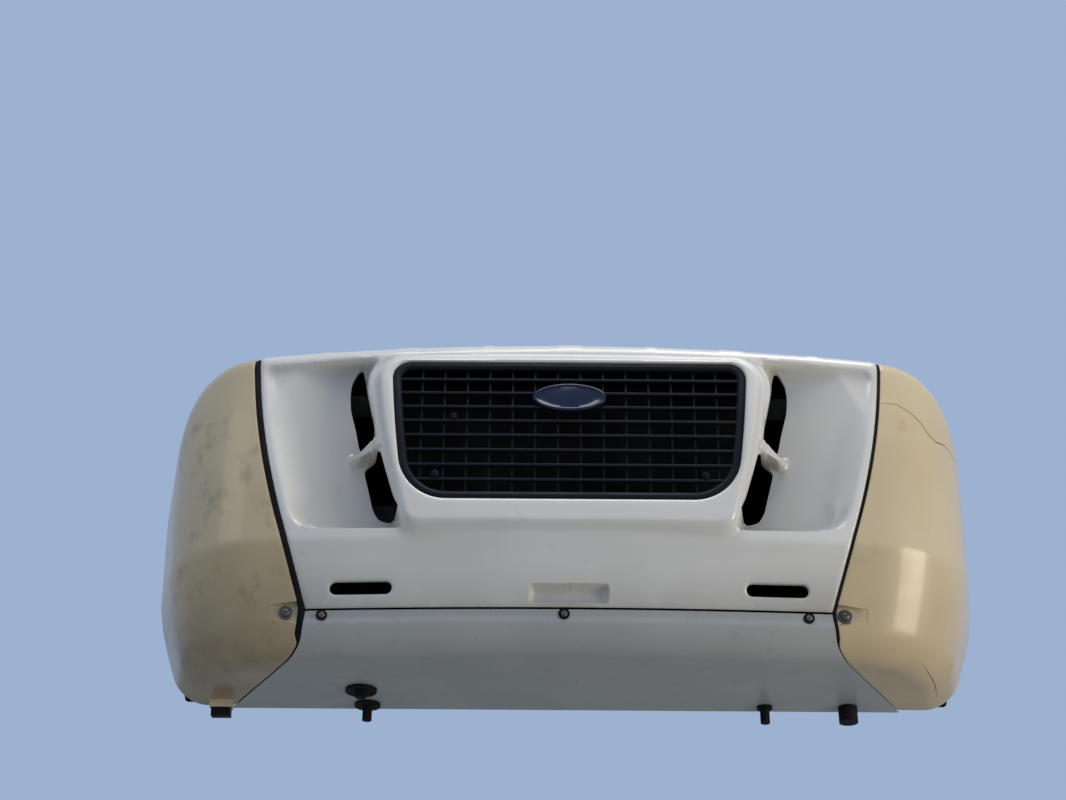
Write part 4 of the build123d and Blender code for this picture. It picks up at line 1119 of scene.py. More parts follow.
@dataclass
class Grille:
    """Navy grille: rounded rim behind the cover's lip, bars, uprights behind them, bolts and an oval pad."""

    front_y: float = 461.0
    bar_count: int = 8
    bar_pitch: float = 35.0
    first_bar: float = 279.0
    bar_height: float = 7.0
    bar_back: float = 4.0
    bar_depth: float = 15.0
    # How far a bar ends inside the opening, depth of its full nose, then its thinner tail's share and rise
    bar_inset: float = 16.0
    bar_nose: float = 5.0
    bar_tail: tuple[float, float] = (0.6, 2.0)
    bar_round: float = 1.8
    upright_places: range = range(-8, 8)
    upright_pitch: float = 51.0
    upright_back: float = 13.0
    upright_inset: float = 14.0
    upright_half: float = 2.0
    upright_depth: float = 9.0
    # Columns: distance outside the opening's edge, distance behind the front
    rim: Profile = ((5.0, 22.0), (5.0, 18.5), (-0.6, 17.5), (-0.6, 5.0), (-2.0, 2.0), (-5.0, 0.4),
                    (-10.0, 0.0), (-15.0, 1.4), (-18.5, 4.5), (-20.0, 9.0), (-20.0, 22.0))
    rim_points: int = 150
    bolts: Profile = ((-298.0, 46.0), (301.0, 46.0), (-260.0, 184.0))
    bolt: Profile = ((9.5, 0), (9.5, 3.0), (8.8, 3.8), (6.0, 4.0), (5.8, 6.5), (4.6, 7.6), (0, 8.0))
    pad_z: float = 231.0
    pad_tilt: float = math.radians(7.5)
    pad_half: tuple[float, float] = (82.0, 35.0)
    pad_points: int = 72
    # Columns: share of the half width, height. The rings above pad_rim_share are inset evenly all round
    pad: Profile = ((1.0, -1.0), (1.0, 6.0), (0.985, 8.2), (0.95, 9.0), (0.915, 8.4), (0.89, 6.6),
                    (0.6, 7.4), (0.3, 7.9), (0.02, 8.0))
    pad_rim_share: float = 0.85

    def build(self) -> None:
        """Make the grille, its bolts and the pad."""
        bars = [self.make_bar(number) for number in range(self.bar_count)]
        select_only(self.make_rim(), *bars, *self.make_uprights())
        bpy.ops.object.join()
        grille = bpy.context.object
        grille.name = "grille_moulding"
        smooth(grille)
        finish_piece(grille, GRILLE_PLASTIC, "cover", "grille", slot="grille_plastic")
        for number, (x, z) in enumerate(self.bolts, start=1):
            bolt = turned(f"grille_bolt_{number}", self.bolt, (x, self.y_at(z, self.bar_back) + 2, z))
            finish_piece(bolt, BLACK_STEEL, "cover")
        self.make_pad()

    def y_at(self, z: float, back: float) -> float:
        """Find where a piece stands that follows the leaning front.

        Args:
            z: Height.
            back: Distance behind the front.

        Returns:
            Its y.
        """
        rise = max(0.0, z - LEAN[0])
        return back - self.front_y + LEAN[1] - math.sqrt(LEAN[1] ** 2 - rise ** 2)

    def half_width(self, z: float, inset: float) -> float:
        """Find half the width of the opening.

        Args:
            z: Height.
            inset: Distance kept from its edge.

        Returns:
            Half width less the inset, or 0.
        """
        low, high = 0.0, 420.0
        for _ in range(30):
            middle = (low + high) / 2
            inside = GRILLE_OPENING.distance(middle, z) < -inset
            low, high = (middle, high) if inside else (low, middle)
        return low

    def make_rim(self) -> bpy.types.Object:
        """Sweep the rim's profile round the opening.

        Returns:
            The rim.
        """
        rings = []
        for grow, back in self.rim:
            half = along(np.array(GRILLE_OPENING.loop(grow, 3.0)), self.rim_points)
            ring = np.concatenate([half, (half * [-1, 1])[-2:0:-1]])
            rings.append([(x, self.y_at(z, back), z) for x, z in ring])
        net = np.array(rings)
        return solid_from("grille_rim", net.reshape(-1, 3), band_faces(*net.shape[:2], close_rows=True))

    def make_bar(self, number: int) -> bpy.types.Object:
        """One bar across the opening, its front edge rounded.

        Args:
            number: Place from the top.

        Returns:
            The bar.
        """
        z = self.first_bar - number * self.bar_pitch
        front = self.y_at(z, self.bar_back)
        bar = block((0, front + self.bar_depth / 2, z),
                    (2 * self.half_width(z, self.bar_inset), self.bar_depth, self.bar_height))
        share, rise = self.bar_tail
        for vertex in bar.data.vertices:
            if vertex.co.y > (front + self.bar_nose) * MM:
                vertex.co.z = z * MM + (vertex.co.z - z * MM) * share + rise * MM
        round_edges(bar, self.bar_round, 3, 30)
        return bar

    def make_uprights(self) -> list[bpy.types.Object]:
        """Stand the thin uprights behind the bars, following the lean.

        Returns:
            The uprights.
        """
        pieces = []
        low, high = GRILLE_OPENING.foot[1] + self.bar_inset, GRILLE_OPENING.top[1] - self.bar_inset
        for place in self.upright_places:
            x = (place + 0.5) * self.upright_pitch
            levels = [z for z in np.linspace(low, high, 26) if self.half_width(z, self.upright_inset) > abs(x)]
            if len(levels) < 3:
                continue
            points = []
            for z in levels:
                front = self.y_at(z, self.upright_back)
                back, left, right = front + self.upright_depth, x - self.upright_half, x + self.upright_half
                points += [(left, front, z), (right, front, z), (right, back, z), (left, back, z)]
            last = len(points) - 4
            faces = band_faces(len(levels), 4) + [(3, 2, 1, 0), (last, last + 1, last + 2, last + 3)]
            pieces.append(solid_from("upright", np.array(points), faces))
        return pieces

    def make_pad(self) -> None:
        """Make the plain oval pad with its raised rim, on the second and third bar."""
        base = self.y_at(self.pad_z, self.bar_back)
        angles = np.linspace(0, 2 * math.pi, self.pad_points + 1)[:-1]
        wide, tall = self.pad_half
        rings = []
        for share, height in self.pad:
            if share > self.pad_rim_share:
                inset = (1 - share) * wide
                half = (wide - inset, tall - inset)
            else:
                half = (wide * share, tall * share)
            rings.append(points_at(half[0] * np.cos(angles), half[1] * np.sin(angles), height))
        x, up, out = np.moveaxis(np.array(rings), -1, 0)
        cos, sin = math.cos(self.pad_tilt), math.sin(self.pad_tilt)
        placed = points_at(x, base - out * cos + up * sin, self.pad_z + up * cos + out * sin)
        count, rows = self.pad_points, len(self.pad)
        faces = band_faces(rows, count)
        faces += [tuple(range((rows - 1) * count, rows * count)), tuple(reversed(range(count)))]
        pad = solid_from("oval_pad", placed.reshape(-1, 3), faces)
        smooth(pad, 50)
        finish_piece(pad, PAD_PLASTIC, "cover", "badge_pad", slot="grille_plastic")


@dataclass
class Latches:
    """Quarter-turn latches in the door recesses: a round domed head with a slot across it."""

    xs: dict[str, float] = field(default_factory=lambda: {"left": -622.0, "right": 607.0})
    head: Profile = ((15.5, 0), (15.5, 2.0), (14.0, 3.2), (10.5, 3.2), (10.0, 6.0), (8.6, 8.2), (5.5, 9.8),
                     (2.5, 10.4), (0, 10.5))
    slot: tuple[float, float, float] = (15.0, 3.4, 2.2)

    def build(self) -> None:
        """Make both latches."""
        for side, x in self.xs.items():
            latch = turned(side + "_latch_head", self.head, (x, RECESS_FLOOR_Y - 0.2, LATCH_Z))
            cut_out(latch, block((x, RECESS_FLOOR_Y - self.head[-1][1], LATCH_Z), self.slot))
            smooth(latch, 35)
            finish_piece(latch, DULL_CASTING, side + "_door", side + "_latch", slot="zinc_steel")


# Hairline cracks and pale scratches. Columns: body, width, finish, points from end to end
DOOR_MARKS = (
    ("right_door", 2.6, CRACK_FILM, ((709, -396, 246), (744, -386, 248), (773, -375, 236), (803, -361, 215),
                                     (823, -349, 189), (842, -333, 176), (869, -304, 179), (892, -270, 164),
                                     (906, -241, 157))),
    ("right_door", 2.2, CHIP_EDGE, ((790, -357, 303), (796, -355, 289), (805, -352, 270))),
    ("right_door", 1.8, CRACK_FILM, ((788, -266, -325), (809, -226, -337), (832, -174, -347),
                                     (854, -93, -358))),
    ("left_door", 2.4, CHIP_EDGE, ((-891, -236, -188), (-908, -180, -210), (-929, -97, -220),
                                   (-943, -35, -230))),
)


@dataclass
class Doors:
    """The two side doors: moulded shells round the corners of the unit, with a latch recess each."""

    back_y: float = -22.0
    wall: float = 5.0
    rows: int = 110
    columns: int = 60
    smoothing: int = 400
    # Point inside a door that its rays to the skin start from
    core: tuple[float, float, float] = (440.0, -90.0, 0.0)
    recess_half: tuple[float, float] = (26.0, 15.0)
    recess_length: float = 70.0
    recess_seam: float = 578.0
    recess_reach: tuple[float, float] = (14.0, 60.0)
    tray_wall: float = 2.5
    tray_rise: float = 34.0
    # Columns: place across the recess from -1 to 1, share of the full depth there
    tray_section: Profile = ((-1, 0), (-0.99, 0.2), (-0.96, 0.62), (-0.9, 0.9), (-0.8, 1.0), (-0.4, 1.0),
                             (0, 1.0), (0.4, 1.0), (0.8, 1.0), (0.9, 0.9), (0.96, 0.62), (0.99, 0.2), (1, 0))
    mark_depth: float = 0.3

    def build(self) -> None:
        """Make both doors and the marks on them."""
        for side, sign in SIDES.items():
            door = self.make_shell(side, sign)
            self.cut_recess(door, side, sign)
            smooth(door)
            # The left door takes the copy whose colour is darkened as painted shade
            finish = SHADED_GELCOAT if side == "left" else DOOR_GELCOAT
            finish_piece(door, finish, side + "_door", side + "_door", slot="door_gelcoat")
        for number, (body, width, finish, line) in enumerate(DOOR_MARKS, start=1):
            mark = self.make_mark(f"gelcoat_mark_{number}", width, np.array(line, dtype=float))
            finish_piece(mark, finish, body)

    def make_shell(self, side: str, sign: int) -> bpy.types.Object:
        """Lay the door on the skin between its four edges and give it its wall.

        Args:
            side: "left" or "right".
            sign: -1 on the left, 1 on the right.

        Returns:
            The shell.
        """
        front, top, back, foot = self.edges(DOOR_GAPS[side])
        u = np.linspace(0, 1, self.rows)[:, None, None]
        v = np.linspace(0, 1, self.columns)[None, :, None]
        front, back = along(front, self.rows), along(back, self.rows)
        top, foot = along(top, self.columns), along(foot, self.columns)
        corners = ((1 - u) * (1 - v) * front[0] + u * (1 - v) * front[-1] + (1 - u) * v * back[0]
                   + u * v * back[-1])
        net = (1 - v) * front[:, None] + v * back[:, None] + (1 - u) * foot[None] + u * top[None] - corners
        for _ in range(self.smoothing):
            net[1:-1, 1:-1] = (net[:-2, 1:-1] + net[2:, 1:-1] + net[1:-1, :-2] + net[1:-1, 2:]) / 4
        net = SKIN.cast(self.core, net.reshape(-1, 3) - self.core).reshape(net.shape)
        net[:, 0], net[:, -1], net[0], net[-1] = front, back, foot, top
        net[:, :, 0] *= sign
        shell = grid_sheet(side + "_door_shell", net, (sign, -1, 0))
        give_wall(shell, self.wall)
        round_edges(shell, 1.6, 2, 50)
        return shell

    def edges(self, gap: float) -> tuple[Points, Points, Points, Points]:
        """Edges of the right door: front from foot to top, top, back from foot to top, and foot.

        Args:
            gap: Distance from the front cover's seam.

        Returns:
            Four polylines on the skin.
        """
        bend = bend_run(gap)
        seam = front_run(np.linspace(bend[-1, 2] + 3, SEAM_TOP_Z, 220), gap)
        crest = crest_run(seam[-1], np.linspace(0, 90, 16))
        roof_ys = np.linspace(crest[-1, 1], self.back_y, 60)[1:]
        roof = SKIN.cast(points_at(seam[-1, 0], roof_ys, HIGH_Z), UP)
        floor = floor_run(np.linspace(self.back_y, bend[0, 1] + 4, 80), gap)
        centre = (self.core[0], self.back_y, self.core[2])
        first, last = (math.atan2(end[2] - centre[2], end[0] - centre[0]) for end in (floor[0], roof[-1]))
        angles = np.linspace(first, last, 200)
        back = SKIN.cast(centre, points_at(np.cos(angles), 0.0, np.sin(angles)))
        half_crest, half_bend = len(crest) // 2, len(bend) // 2
        front = np.concatenate([bend[half_bend:], seam[:-4], crest[:half_crest + 1]])
        top = np.concatenate([crest[half_crest:], roof])
        foot = np.concatenate([floor, bend[:half_bend + 1]])[::-1]
        return front, top, back, foot

    def cut_recess(self, door: bpy.types.Object, side: str, sign: int) -> None:
        """Cut the latch recess into a door and line it with a tray.

        Args:
            door: The door's shell.
            side: "left" or "right".
            sign: -1 on the left, 1 on the right.
        """
        seam = self.recess_seam + DOOR_GAPS[side]
        before, reach = self.recess_reach
        low_x, high_x = seam - before, seam + self.recess_length
        cutter = block(((low_x + high_x) / 2 * sign, RECESS_FLOOR_Y - reach / 2, LATCH_Z),
                       (high_x - low_x, reach, 2 * self.recess_half[0]))
        share = self.recess_half[1] / self.recess_half[0]
        for vertex in cutter.data.vertices:
            if abs(vertex.co.x) > (low_x + high_x) / 2 * MM:
                vertex.co.z = LATCH_Z * MM + (vertex.co.z - LATCH_Z * MM) * share
        cut_out(door, cutter)
        net = self.tray_net(low_x, high_x, DOOR_GAPS[side]) * [sign, 1, 1]
        tray = grid_sheet(side + "_recess_tray", net, AHEAD)
        give_wall(tray, self.tray_wall)
        select_only(door, tray)
        bpy.ops.object.join()

    def tray_net(self, low_x: float, high_x: float, gap: float) -> Points:
        """Shape the recess lining: walls that round into a level floor, which rises to the skin outwards.

        Args:
            low_x: Where the recess has the first of its half heights.
            high_x: Outer end of the recess.
            gap: Distance of the door from the front cover's seam.

        Returns:
            Rows of points from the lower wall to the upper wall.
        """
        share_x = np.concatenate([np.linspace(0, 0.7, 12), np.linspace(0.74, 1, 8)])
        rows = []
        for across, share in self.tray_section:
            start_x = seam_x(LATCH_Z + across * self.recess_half[0]) + gap + 0.6
            xs = start_x + (high_x - start_x) * share_x
            z = LATCH_Z + across * np.interp(xs, [low_x, high_x], self.recess_half)
            lip = SKIN.cast(points_at(xs, INSIDE_Y, z), AHEAD)[:, 1] + 1.2
            floor = RECESS_FLOOR_Y + (lip - RECESS_FLOOR_Y) * ease(xs, high_x - self.tray_rise, high_x)
            rows.append(points_at(xs, lip + (floor - lip) * share, z))
        return np.array(rows)

    def make_mark(self, name: str, width: float, line: Points) -> bpy.types.Object:
        """Lay a hairline crack or scratch on a door, tapered to its ends.

        Args:
            name: Name of the mark.
            width: Width in its middle.
            line: Its points.

        Returns:
            The mark.
        """
        mirror = [math.copysign(1, line[0, 0]), 1, 1]
        points = along(line, 6 * len(line))
        steps = np.gradient(points, axis=0)
        across = points_at(steps[:, 2], 0.0, -steps[:, 0])
        across /= np.linalg.norm(across, axis=1)[:, None]
        taper = np.sin(np.linspace(0.15, math.pi - 0.15, len(points)))[:, None]
        rows = []
        for side in (-0.5, 0.5):
            ways = (points + across * width * side * taper) * mirror - self.core
            found = SKIN.cast(self.core, ways)
            outward = ways / np.linalg.norm(ways, axis=1)[:, None]
            rows.append((found + outward * 0.25) * mirror)
        mark = grid_sheet(name, np.array(rows), AHEAD)
        give_wall(mark, self.mark_depth)
        return mark


@dataclass
class SealStrips:
    """Black rubber strips that fill the seams between the front cover or lower panel and the doors."""

    # Columns: place across the seam, from 0 at the cover to 1 at the door and on in millimetres; depth
    profile: Profile = ((-9.0, 12.0), (-9.0, 8.0), (-0.5, 7.0), (0.06, 3.4), (0.18, 2.2), (0.5, 1.6),
                        (0.82, 2.2), (0.94, 3.4), (1.3, 6.0), (2.5, 7.0), (2.5, 12.0))
    back_y: float = -24.0
    roof_reach: tuple[float, float] = (4.0, 50.0)

    def build(self) -> None:
        """Make both strips."""
        for side, sign in SIDES.items():
            strip = self.make_strip(side, sign)
            finish_piece(strip, SEAL_RUBBER, "unit", side + "_seal_post", slot="seal_rubber")

    def make_strip(self, side: str, sign: int) -> bpy.types.Object:
        """Sweep the strip's profile along its seam.

        Args:
            side: "left" or "right".
            sign: -1 on the left, 1 on the right.

        Returns:
            The strip.
        """
        rings = []
        for across, depth in self.profile:
            share = min(max(across, 0.0), 1.0)
            line = self.line(DOOR_GAPS[side] * share, across - share)
            rings.append(line + self.inward(line) * depth)
        net = np.array(rings) * [sign, 1, 1]
        rows, count = net.shape[:2]
        faces = band_faces(rows, count, close_rows=True, close_row=False)
        first = [r * count for r in range(rows)]
        faces += [tuple(first), tuple(corner + count - 1 for corner in reversed(first))]
        strip = solid_from(side + "_seal_strip", net.reshape(-1, 3), faces)
        smooth(strip)
        return strip

    def line(self, gap: float, extra: float) -> Points:
        """The seam's line on the skin from the wall along the floor, up the front and over the top.

        Args:
            gap: Distance outwards from the edge of the cover or the panel, which narrows towards the floor.
            extra: Distance added to it that stays the same.

        Returns:
            Points of the line.
        """
        bend = bend_run(gap, extra)
        floor = floor_run(np.linspace(self.back_y, bend[0, 1] + 4, 40), gap, extra)
        seam = front_run(np.linspace(bend[-1, 2] + 3, SEAM_TOP_Z, 90), gap + extra)
        crest = crest_run(seam[-1], np.linspace(8, 90, 12))
        roof_ys = crest[-1, 1] + np.linspace(*self.roof_reach, 6)
        roof = SKIN.cast(points_at(seam[-1, 0], roof_ys, HIGH_Z), UP)
        return np.concatenate([floor, bend, seam, crest, roof])

    def inward(self, points: Points) -> Points:
        """Find which way leads from the skin into the unit, turned little sideways.

        Args:
            points: Points on the skin.

        Returns:
            Unit directions, one a row.
        """
        slope = np.stack([SKIN.distance(points + move) - SKIN.distance(points - move)
                          for move in 2.0 * np.eye(3)], axis=1)
        slope[:, 0] *= 0.3
        return -slope / np.linalg.norm(slope, axis=1)[:, None]


@dataclass
class FrontCover:
    """Moulded front cover: leaning frame round the grille, scoops with slots and fins, chin slots, grip."""

    surround: Lobe = field(
        default_factory=lambda: Lobe((440.0, 341.0), (423.0, 185.0), (359.0, -72.0), 62.0, 40.0))
    scoop: Lobe = field(
        default_factory=lambda: Lobe((702.0, 352.0), (665.0, 128.0), (609.0, -70.0), 26.0, 74.0))
    front_y: float = 466.0
    wall: float = 5.0
    foot_z: float = -240.0
    back_y: float = 303.0
    upper_slot: tuple[tuple[float, float], ...] = (
        (474, 333), (458, 254), (451, 222), (437, 163), (443, 151), (455, 140), (475, 132), (487, 188),
        (499, 231), (502, 268), (499, 300), (487, 324))
    lower_slot: tuple[tuple[float, float], ...] = (
        (425, 120), (407, 57), (391, 5), (374, -32), (412, -32), (428, -27), (441, -5), (448, 24),
        (464, 86), (457, 97))
    fin_root: tuple[float, float] = (430.0, 131.0)
    fin_tip: tuple[float, float] = (506.0, 98.0)
    fin_half: tuple[float, float] = (14.0, 8.0)
    fin_heights: tuple[float, float] = (437.0, 360.0)
    fin_proud: float = 2.0
    floor_inner: tuple[float, float] = (440.0, 350.0)
    floor_outer: tuple[float, float] = (684.0, 396.0)
    # Where the scoop begins beside the grille's frame. Columns: height, distance from the frame
    pocket_edges: Profile = ((-50, 9), (5, 10), (57, 13), (112, 16), (158, 18), (222, 22), (254, 24),
                             (340, 26))
    rim_drop: float = 12.0
    # Length of the scoop's concave foot, then what it loses near the top and near the foot, and from where
    sweep: float = 70.0
    sweep_high: tuple[float, float, float] = (38.0, 10.0, 110.0)
    sweep_low: tuple[float, float, float] = (54.0, 6.0, 90.0)
    sweep_power: float = 2.4
    # Groove round the raised frame: depth, distance outside the frame's edge, half width
    groove: tuple[float, float, float] = (1.4, 9.5, 2.2)
    # Centre, half width and half height, and the radius of the corners
    chin_slot: tuple[float, float, float, float] = (457.0, -198.0, 69.0, 14.0)
    chin_slot_radius: float = 14.0
    grip: tuple[float, float, float, float] = (0.0, -212.0, 88.0, 21.0)
    grip_radius: float = 9.0
    grip_floor: float = 388.0
    # Radii of the rolled edges
    opening_roll: float = 5.5
    chin_roll: float = 4.0
    seam_roll: float = 4.5
    # How far the edges of the grille opening and of the slots turn back
    hems: tuple[float, float] = (13.0, 10.0)
    # Part of the front that holds the scoop's slots: low and high x, low and high z
    slot_zone: tuple[float, float, float, float] = (372.0, 506.0, -50.0, 334.0)
    # Low ribs over the top edge. Columns: place, width
    ribs: Profile = ((0.0, 55.0), (372.0, 55.0), (187.0, 20.0), (560.0, 20.0))
    rib_height: float = 1.8
    spacing: float = 8.5
    # Least distance of a mesh point to those taken before it and to its like, on guides and on the grid
    guide_apart: tuple[float, float] = (1.0, 3.4)
    grid_apart: tuple[float, float] = (4.6, 1.0)

    def build(self) -> None:
        """Make the cover."""
        cover = self.make_half()
        apply_modifier(cover, "MIRROR", use_axis=(True, False, False), use_clip=True,
                       merge_threshold=0.0002)
        self.hem(cover)
        give_wall(cover, self.wall)
        smooth(cover, 55)
        finish_piece(cover, COVER_GELCOAT, "cover", "front_cover", slot="cover_gelcoat")

    def skin_depth(self, x: Points, z: Points) -> Points:
        """Depth of the plain skin in front of the wall."""
        return -SKIN.cast(points_at(x, INSIDE_Y, z), AHEAD)[:, 1]

    def level_top(self, x: Points) -> Points:
        """Height where the front starts to roll back into the top."""
        return SKIN.crown_height(x) - SKIN.top_roll

    def crown_fall(self, x: Points, z: Points) -> Points:
        """How far the crown has fallen beside the middle, with no effect low on the front."""
        return (SKIN.crown_z - SKIN.crown_height(x)) * ease(z, 100, 300)

    def box_distance(self, x: Points, z: Points, box: tuple[float, float, float, float],
                     radius: float) -> Points:
        """Signed distance to a rounded rectangle.

        Args:
            x: Distance from the middle of the unit.
            z: Height.
            box: Centre, half width and half height.
            radius: Radius of its corners.

        Returns:
            Negative inside, positive outside.
        """
        dx = np.abs(x - box[0]) - box[2] + radius
        dz = np.abs(z - box[1]) - box[3] + radius
        return np.hypot(np.maximum(dx, 0), np.maximum(dz, 0)) + np.minimum(np.maximum(dx, dz), 0) - radius

    def pocket_edge(self, z: Points) -> Points:
        """How far from the grille's frame the scoop begins, at a height."""
        return np.interp(z, *zip(*self.pocket_edges))

    def fin_run(self) -> tuple[float, float, float]:
        """Length of the fin from root to tip, and its direction across and up."""
        across, up = self.fin_tip[0] - self.fin_root[0], self.fin_tip[1] - self.fin_root[1]
        length = math.hypot(across, up)
        return length, across / length, up / length

    def fin_width(self, place: Points) -> Points:
        """Half the fin's thickness at a place from 0 at its root to 1 at its tip."""
        return self.fin_half[0] + (self.fin_half[1] - self.fin_half[0]) * ease(place, 0, 0.7)

    def fin_place(self, x: Points, z: Points) -> tuple[Points, Points]:
        """Find where points lie beside the fin.

        Args:
            x: Distance from the middle of the unit.
            z: Height.

        Returns:
            Place from 0 at the root to 1 at the tip, and signed distance from the fin's outline.
        """
        length, ux, uz = self.fin_run()
        from_x, from_z = x - self.fin_root[0], z - self.fin_root[1]
        run = (from_x * ux + from_z * uz) / length
        across = np.abs(-from_x * uz + from_z * ux)
        place = np.clip(run, 0, 1)
        return place, np.hypot(np.maximum(run - 1, 0) * length, across) - self.fin_width(place)

    def depth(self, x: Points, z: Points) -> Points:
        """Depth of the finished front, without its rolled top.

        Args:
            x: Distance from the middle.
            z: Height.

        Returns:
            Distance in front of the wall.
        """
        skin = self.skin_depth(x, np.minimum(z, self.level_top(x)))
        crest = self.surround.distance(x, z)
        body = skin - self.scoop_depth(x, z, skin, crest)
        body = self.with_fin(x, z, body, skin)
        body = self.with_frame(x, z, body, crest)
        return self.with_edges(x, z, body)

    def scoop_depth(self, x: Points, z: Points, skin: Points, crest: Points) -> Points:
        """Sink the scoop: a rim, a long concave foot and a floor that rises outwards.

        Args:
            x: Distance from the middle.
            z: Height.
            skin: Depth of the plain skin.
            crest: Signed distance to the raised frame.

        Returns:
            How far the scoop lies behind the skin.
        """
        warped = z + self.crown_fall(x, z)
        inside = -self.scoop.distance(x, warped)
        slope = (self.floor_outer[1] - self.floor_inner[1]) / (self.floor_outer[0] - self.floor_inner[0])
        floor = self.floor_inner[1] + (x - self.floor_inner[0]) * slope
        drop = np.maximum(skin - floor, self.rim_drop)
        reach = self.sweep
        for (loss, start, end), within in ((self.sweep_high, self.scoop.top[1] - warped),
                                           (self.sweep_low, warped - self.scoop.foot[1])):
            reach = reach - loss * (1 - ease(within, start, end))
        t = np.clip(inside / reach, 0, 1)
        sunk = (1 - (1 - t) ** self.sweep_power) * ease(inside, -1.5, 7)
        return drop * (sunk * ease(crest - self.pocket_edge(z), -7, 16))

    def with_fin(self, x: Points, z: Points, body: Points, skin: Points) -> Points:
        """Raise the fin between the slots, which fades out at its tip.

        Args:
            x: Distance from the middle.
            z: Height.
            body: Depth so far.
            skin: Depth of the plain skin.

        Returns:
            Depth with the fin.
        """
        place, off = self.fin_place(x, z)
        root, tip = self.fin_heights
        fin = np.minimum(root + (tip - root) * place ** 0.8, skin + self.fin_proud)
        flank = 4.0 + 10 * ease(place, 0.35, 1.0)
        share = (1 - ease(off, -3.0, flank)) * (1 - ease(place, 0.62, 1.0))
        in_pocket = x > self.fin_root[0] - 50
        return np.maximum(body, body + (fin - body) * share * in_pocket)

    def with_frame(self, x: Points, z: Points, body: Points, crest: Points) -> Points:
        """Raise the leaning frame round the grille, its edge softer towards the foot.

        Args:
            x: Distance from the middle.
            z: Height.
            body: Depth so far.
            crest: Signed distance to the frame's outline.

        Returns:
            Depth with the frame.
        """
        rise = np.clip(z - LEAN[0], 0, 400)
        front = self.front_y - LEAN[1] + np.sqrt(LEAN[1] ** 2 - rise ** 2)
        soft = 1 + 1.6 * (1 - ease(z, -70, 30)) * ease(x, 150, 330) + 0.5 * (1 - ease(z, -75, -20))
        raised = 1 - ease(crest, -13, 9 * soft)
        deep, off, half = self.groove
        groove = deep * np.exp(-((crest - off) / half) ** 2) * ease(z, 0, 60)
        return body + (np.maximum(front, body) - body) * raised - groove

    def with_edges(self, x: Points, z: Points, body: Points) -> Points:
        """Roll the edges of the openings and seams, and sink the grip.

        Args:
            x: Distance from the middle.
            z: Height.
            body: Depth so far.

        Returns:
            Finished depth.
        """
        chin = self.box_distance(x, z, self.chin_slot, self.chin_slot_radius)
        grip = self.box_distance(x, z, self.grip, self.grip_radius)
        body = body - self.rolled(GRILLE_OPENING.distance(x, z), self.opening_roll)
        body = body - self.rolled(chin, self.chin_roll)
        body = body - (body - self.grip_floor) * (1 - ease(grip, -8, 0.5))
        return body - self.rolled(seam_x(z) - x, self.seam_roll) - self.rolled(z - self.foot_z, self.chin_roll)

    def rolled(self, distance: Points, radius: float) -> Points:
        """How far a quarter-round edge falls back at a distance from it."""
        inner = np.clip(radius - distance, 0, radius * 0.96)
        return radius - np.sqrt(radius ** 2 - inner ** 2)

    def place(self, flat: Points) -> Points:
        """Lay points of the flat pattern on the finished front and over its rolled top.

        Args:
            flat: Rows of distance from the middle and height, which runs on over the top.

        Returns:
            Rows of points.
        """
        x, w = flat[:, 0], flat[:, 1]
        top = self.level_top(x)
        radius = SKIN.top_roll
        front = self.depth(x, np.minimum(w, top))
        turn = np.clip((w - top) / radius, 0, math.pi / 2)
        back = np.maximum(w - top - radius * math.pi / 2, 0)
        rib = np.zeros(len(x))
        for centre, width in self.ribs:
            rib += 1 - ease(np.abs(x - centre), width / 2 - 2, width / 2 + 4)
        rib = self.rib_height * rib * ease(turn, 0.5, 0.9) * (1 - ease(back, 55, 65))
        edge = np.where(w > top, self.rolled(FLANK.top[0] - x, self.seam_roll), 0.0)
        reach = radius + rib - edge
        y_roll = back + radius - self.skin_depth(x, top) - reach * np.cos(turn)
        y = np.where(w > top, y_roll, -front)
        z = np.where(w > top, top + reach * np.sin(turn), w)
        return points_at(x, y, z)

    def pattern_end(self, x: Points) -> Points:
        """Height at which the flat pattern ends, which is the back edge of the top."""
        top = self.level_top(x)
        return top + SKIN.top_roll * (math.pi / 2 - 1) + self.skin_depth(x, top) - self.back_y

    def outline(self) -> Points:
        """Walk round the right half of the flat pattern, from the middle of the foot to the middle of the top.

        Returns:
            Points of the edge.
        """
        foot_x, end_x = float(seam_x(self.foot_z)) - 1, FLANK.top[0]
        levels = np.arange(self.foot_z, FLANK.top[1], 6.0)
        back_xs = np.arange(end_x, -0.5, -6.0)
        back_xs[-1] = 0.0
        rises = np.arange(FLANK.top[1] + 2, float(self.pattern_end(end_x)[0]), 5.0)
        runs = ((np.arange(0, foot_x, 6.0), self.foot_z), (seam_x(levels), levels), (end_x, rises),
                (back_xs, self.pattern_end(back_xs)))
        return np.concatenate([np.stack(np.broadcast_arrays(x, w), axis=1) for x, w in runs])

    def holes(self) -> list[Points]:
        """Find the edges of the slots and the chin slot, right half.

        Returns:
            One closed loop for each.
        """
        chin_x, chin_z, half, radius = self.chin_slot
        ends = np.radians(np.linspace(-90, 90, 9))
        chin = [(chin_x + side * (half - radius + radius * math.cos(a)), chin_z + radius * math.sin(a))
                for side, turn in ((1, ends), (-1, ends[::-1])) for a in turn]
        return [rounded(self.upper_slot), rounded(self.lower_slot), np.array(chin)]

    def guides(self) -> Points:
        """Points that follow the edges of every moulded form, so that the mesh does too."""
        return np.concatenate(self.frame_guides() + self.scoop_guides() + self.fin_guides()
                              + self.edge_guides() + self.top_guides())

    def frame_guides(self) -> list[Points]:
        """Follow the raised frame and the grille opening.

        Returns:
            One line of points for each distance from them.
        """
        lines = [self.surround.loop(grow, 5.0) for grow in (-14, -10, -6, -2, 2, 6, 10, 14)]
        return lines + [GRILLE_OPENING.loop(grow, 5.0) for grow in (0.6, 2.0, 4.0, 6.5)]

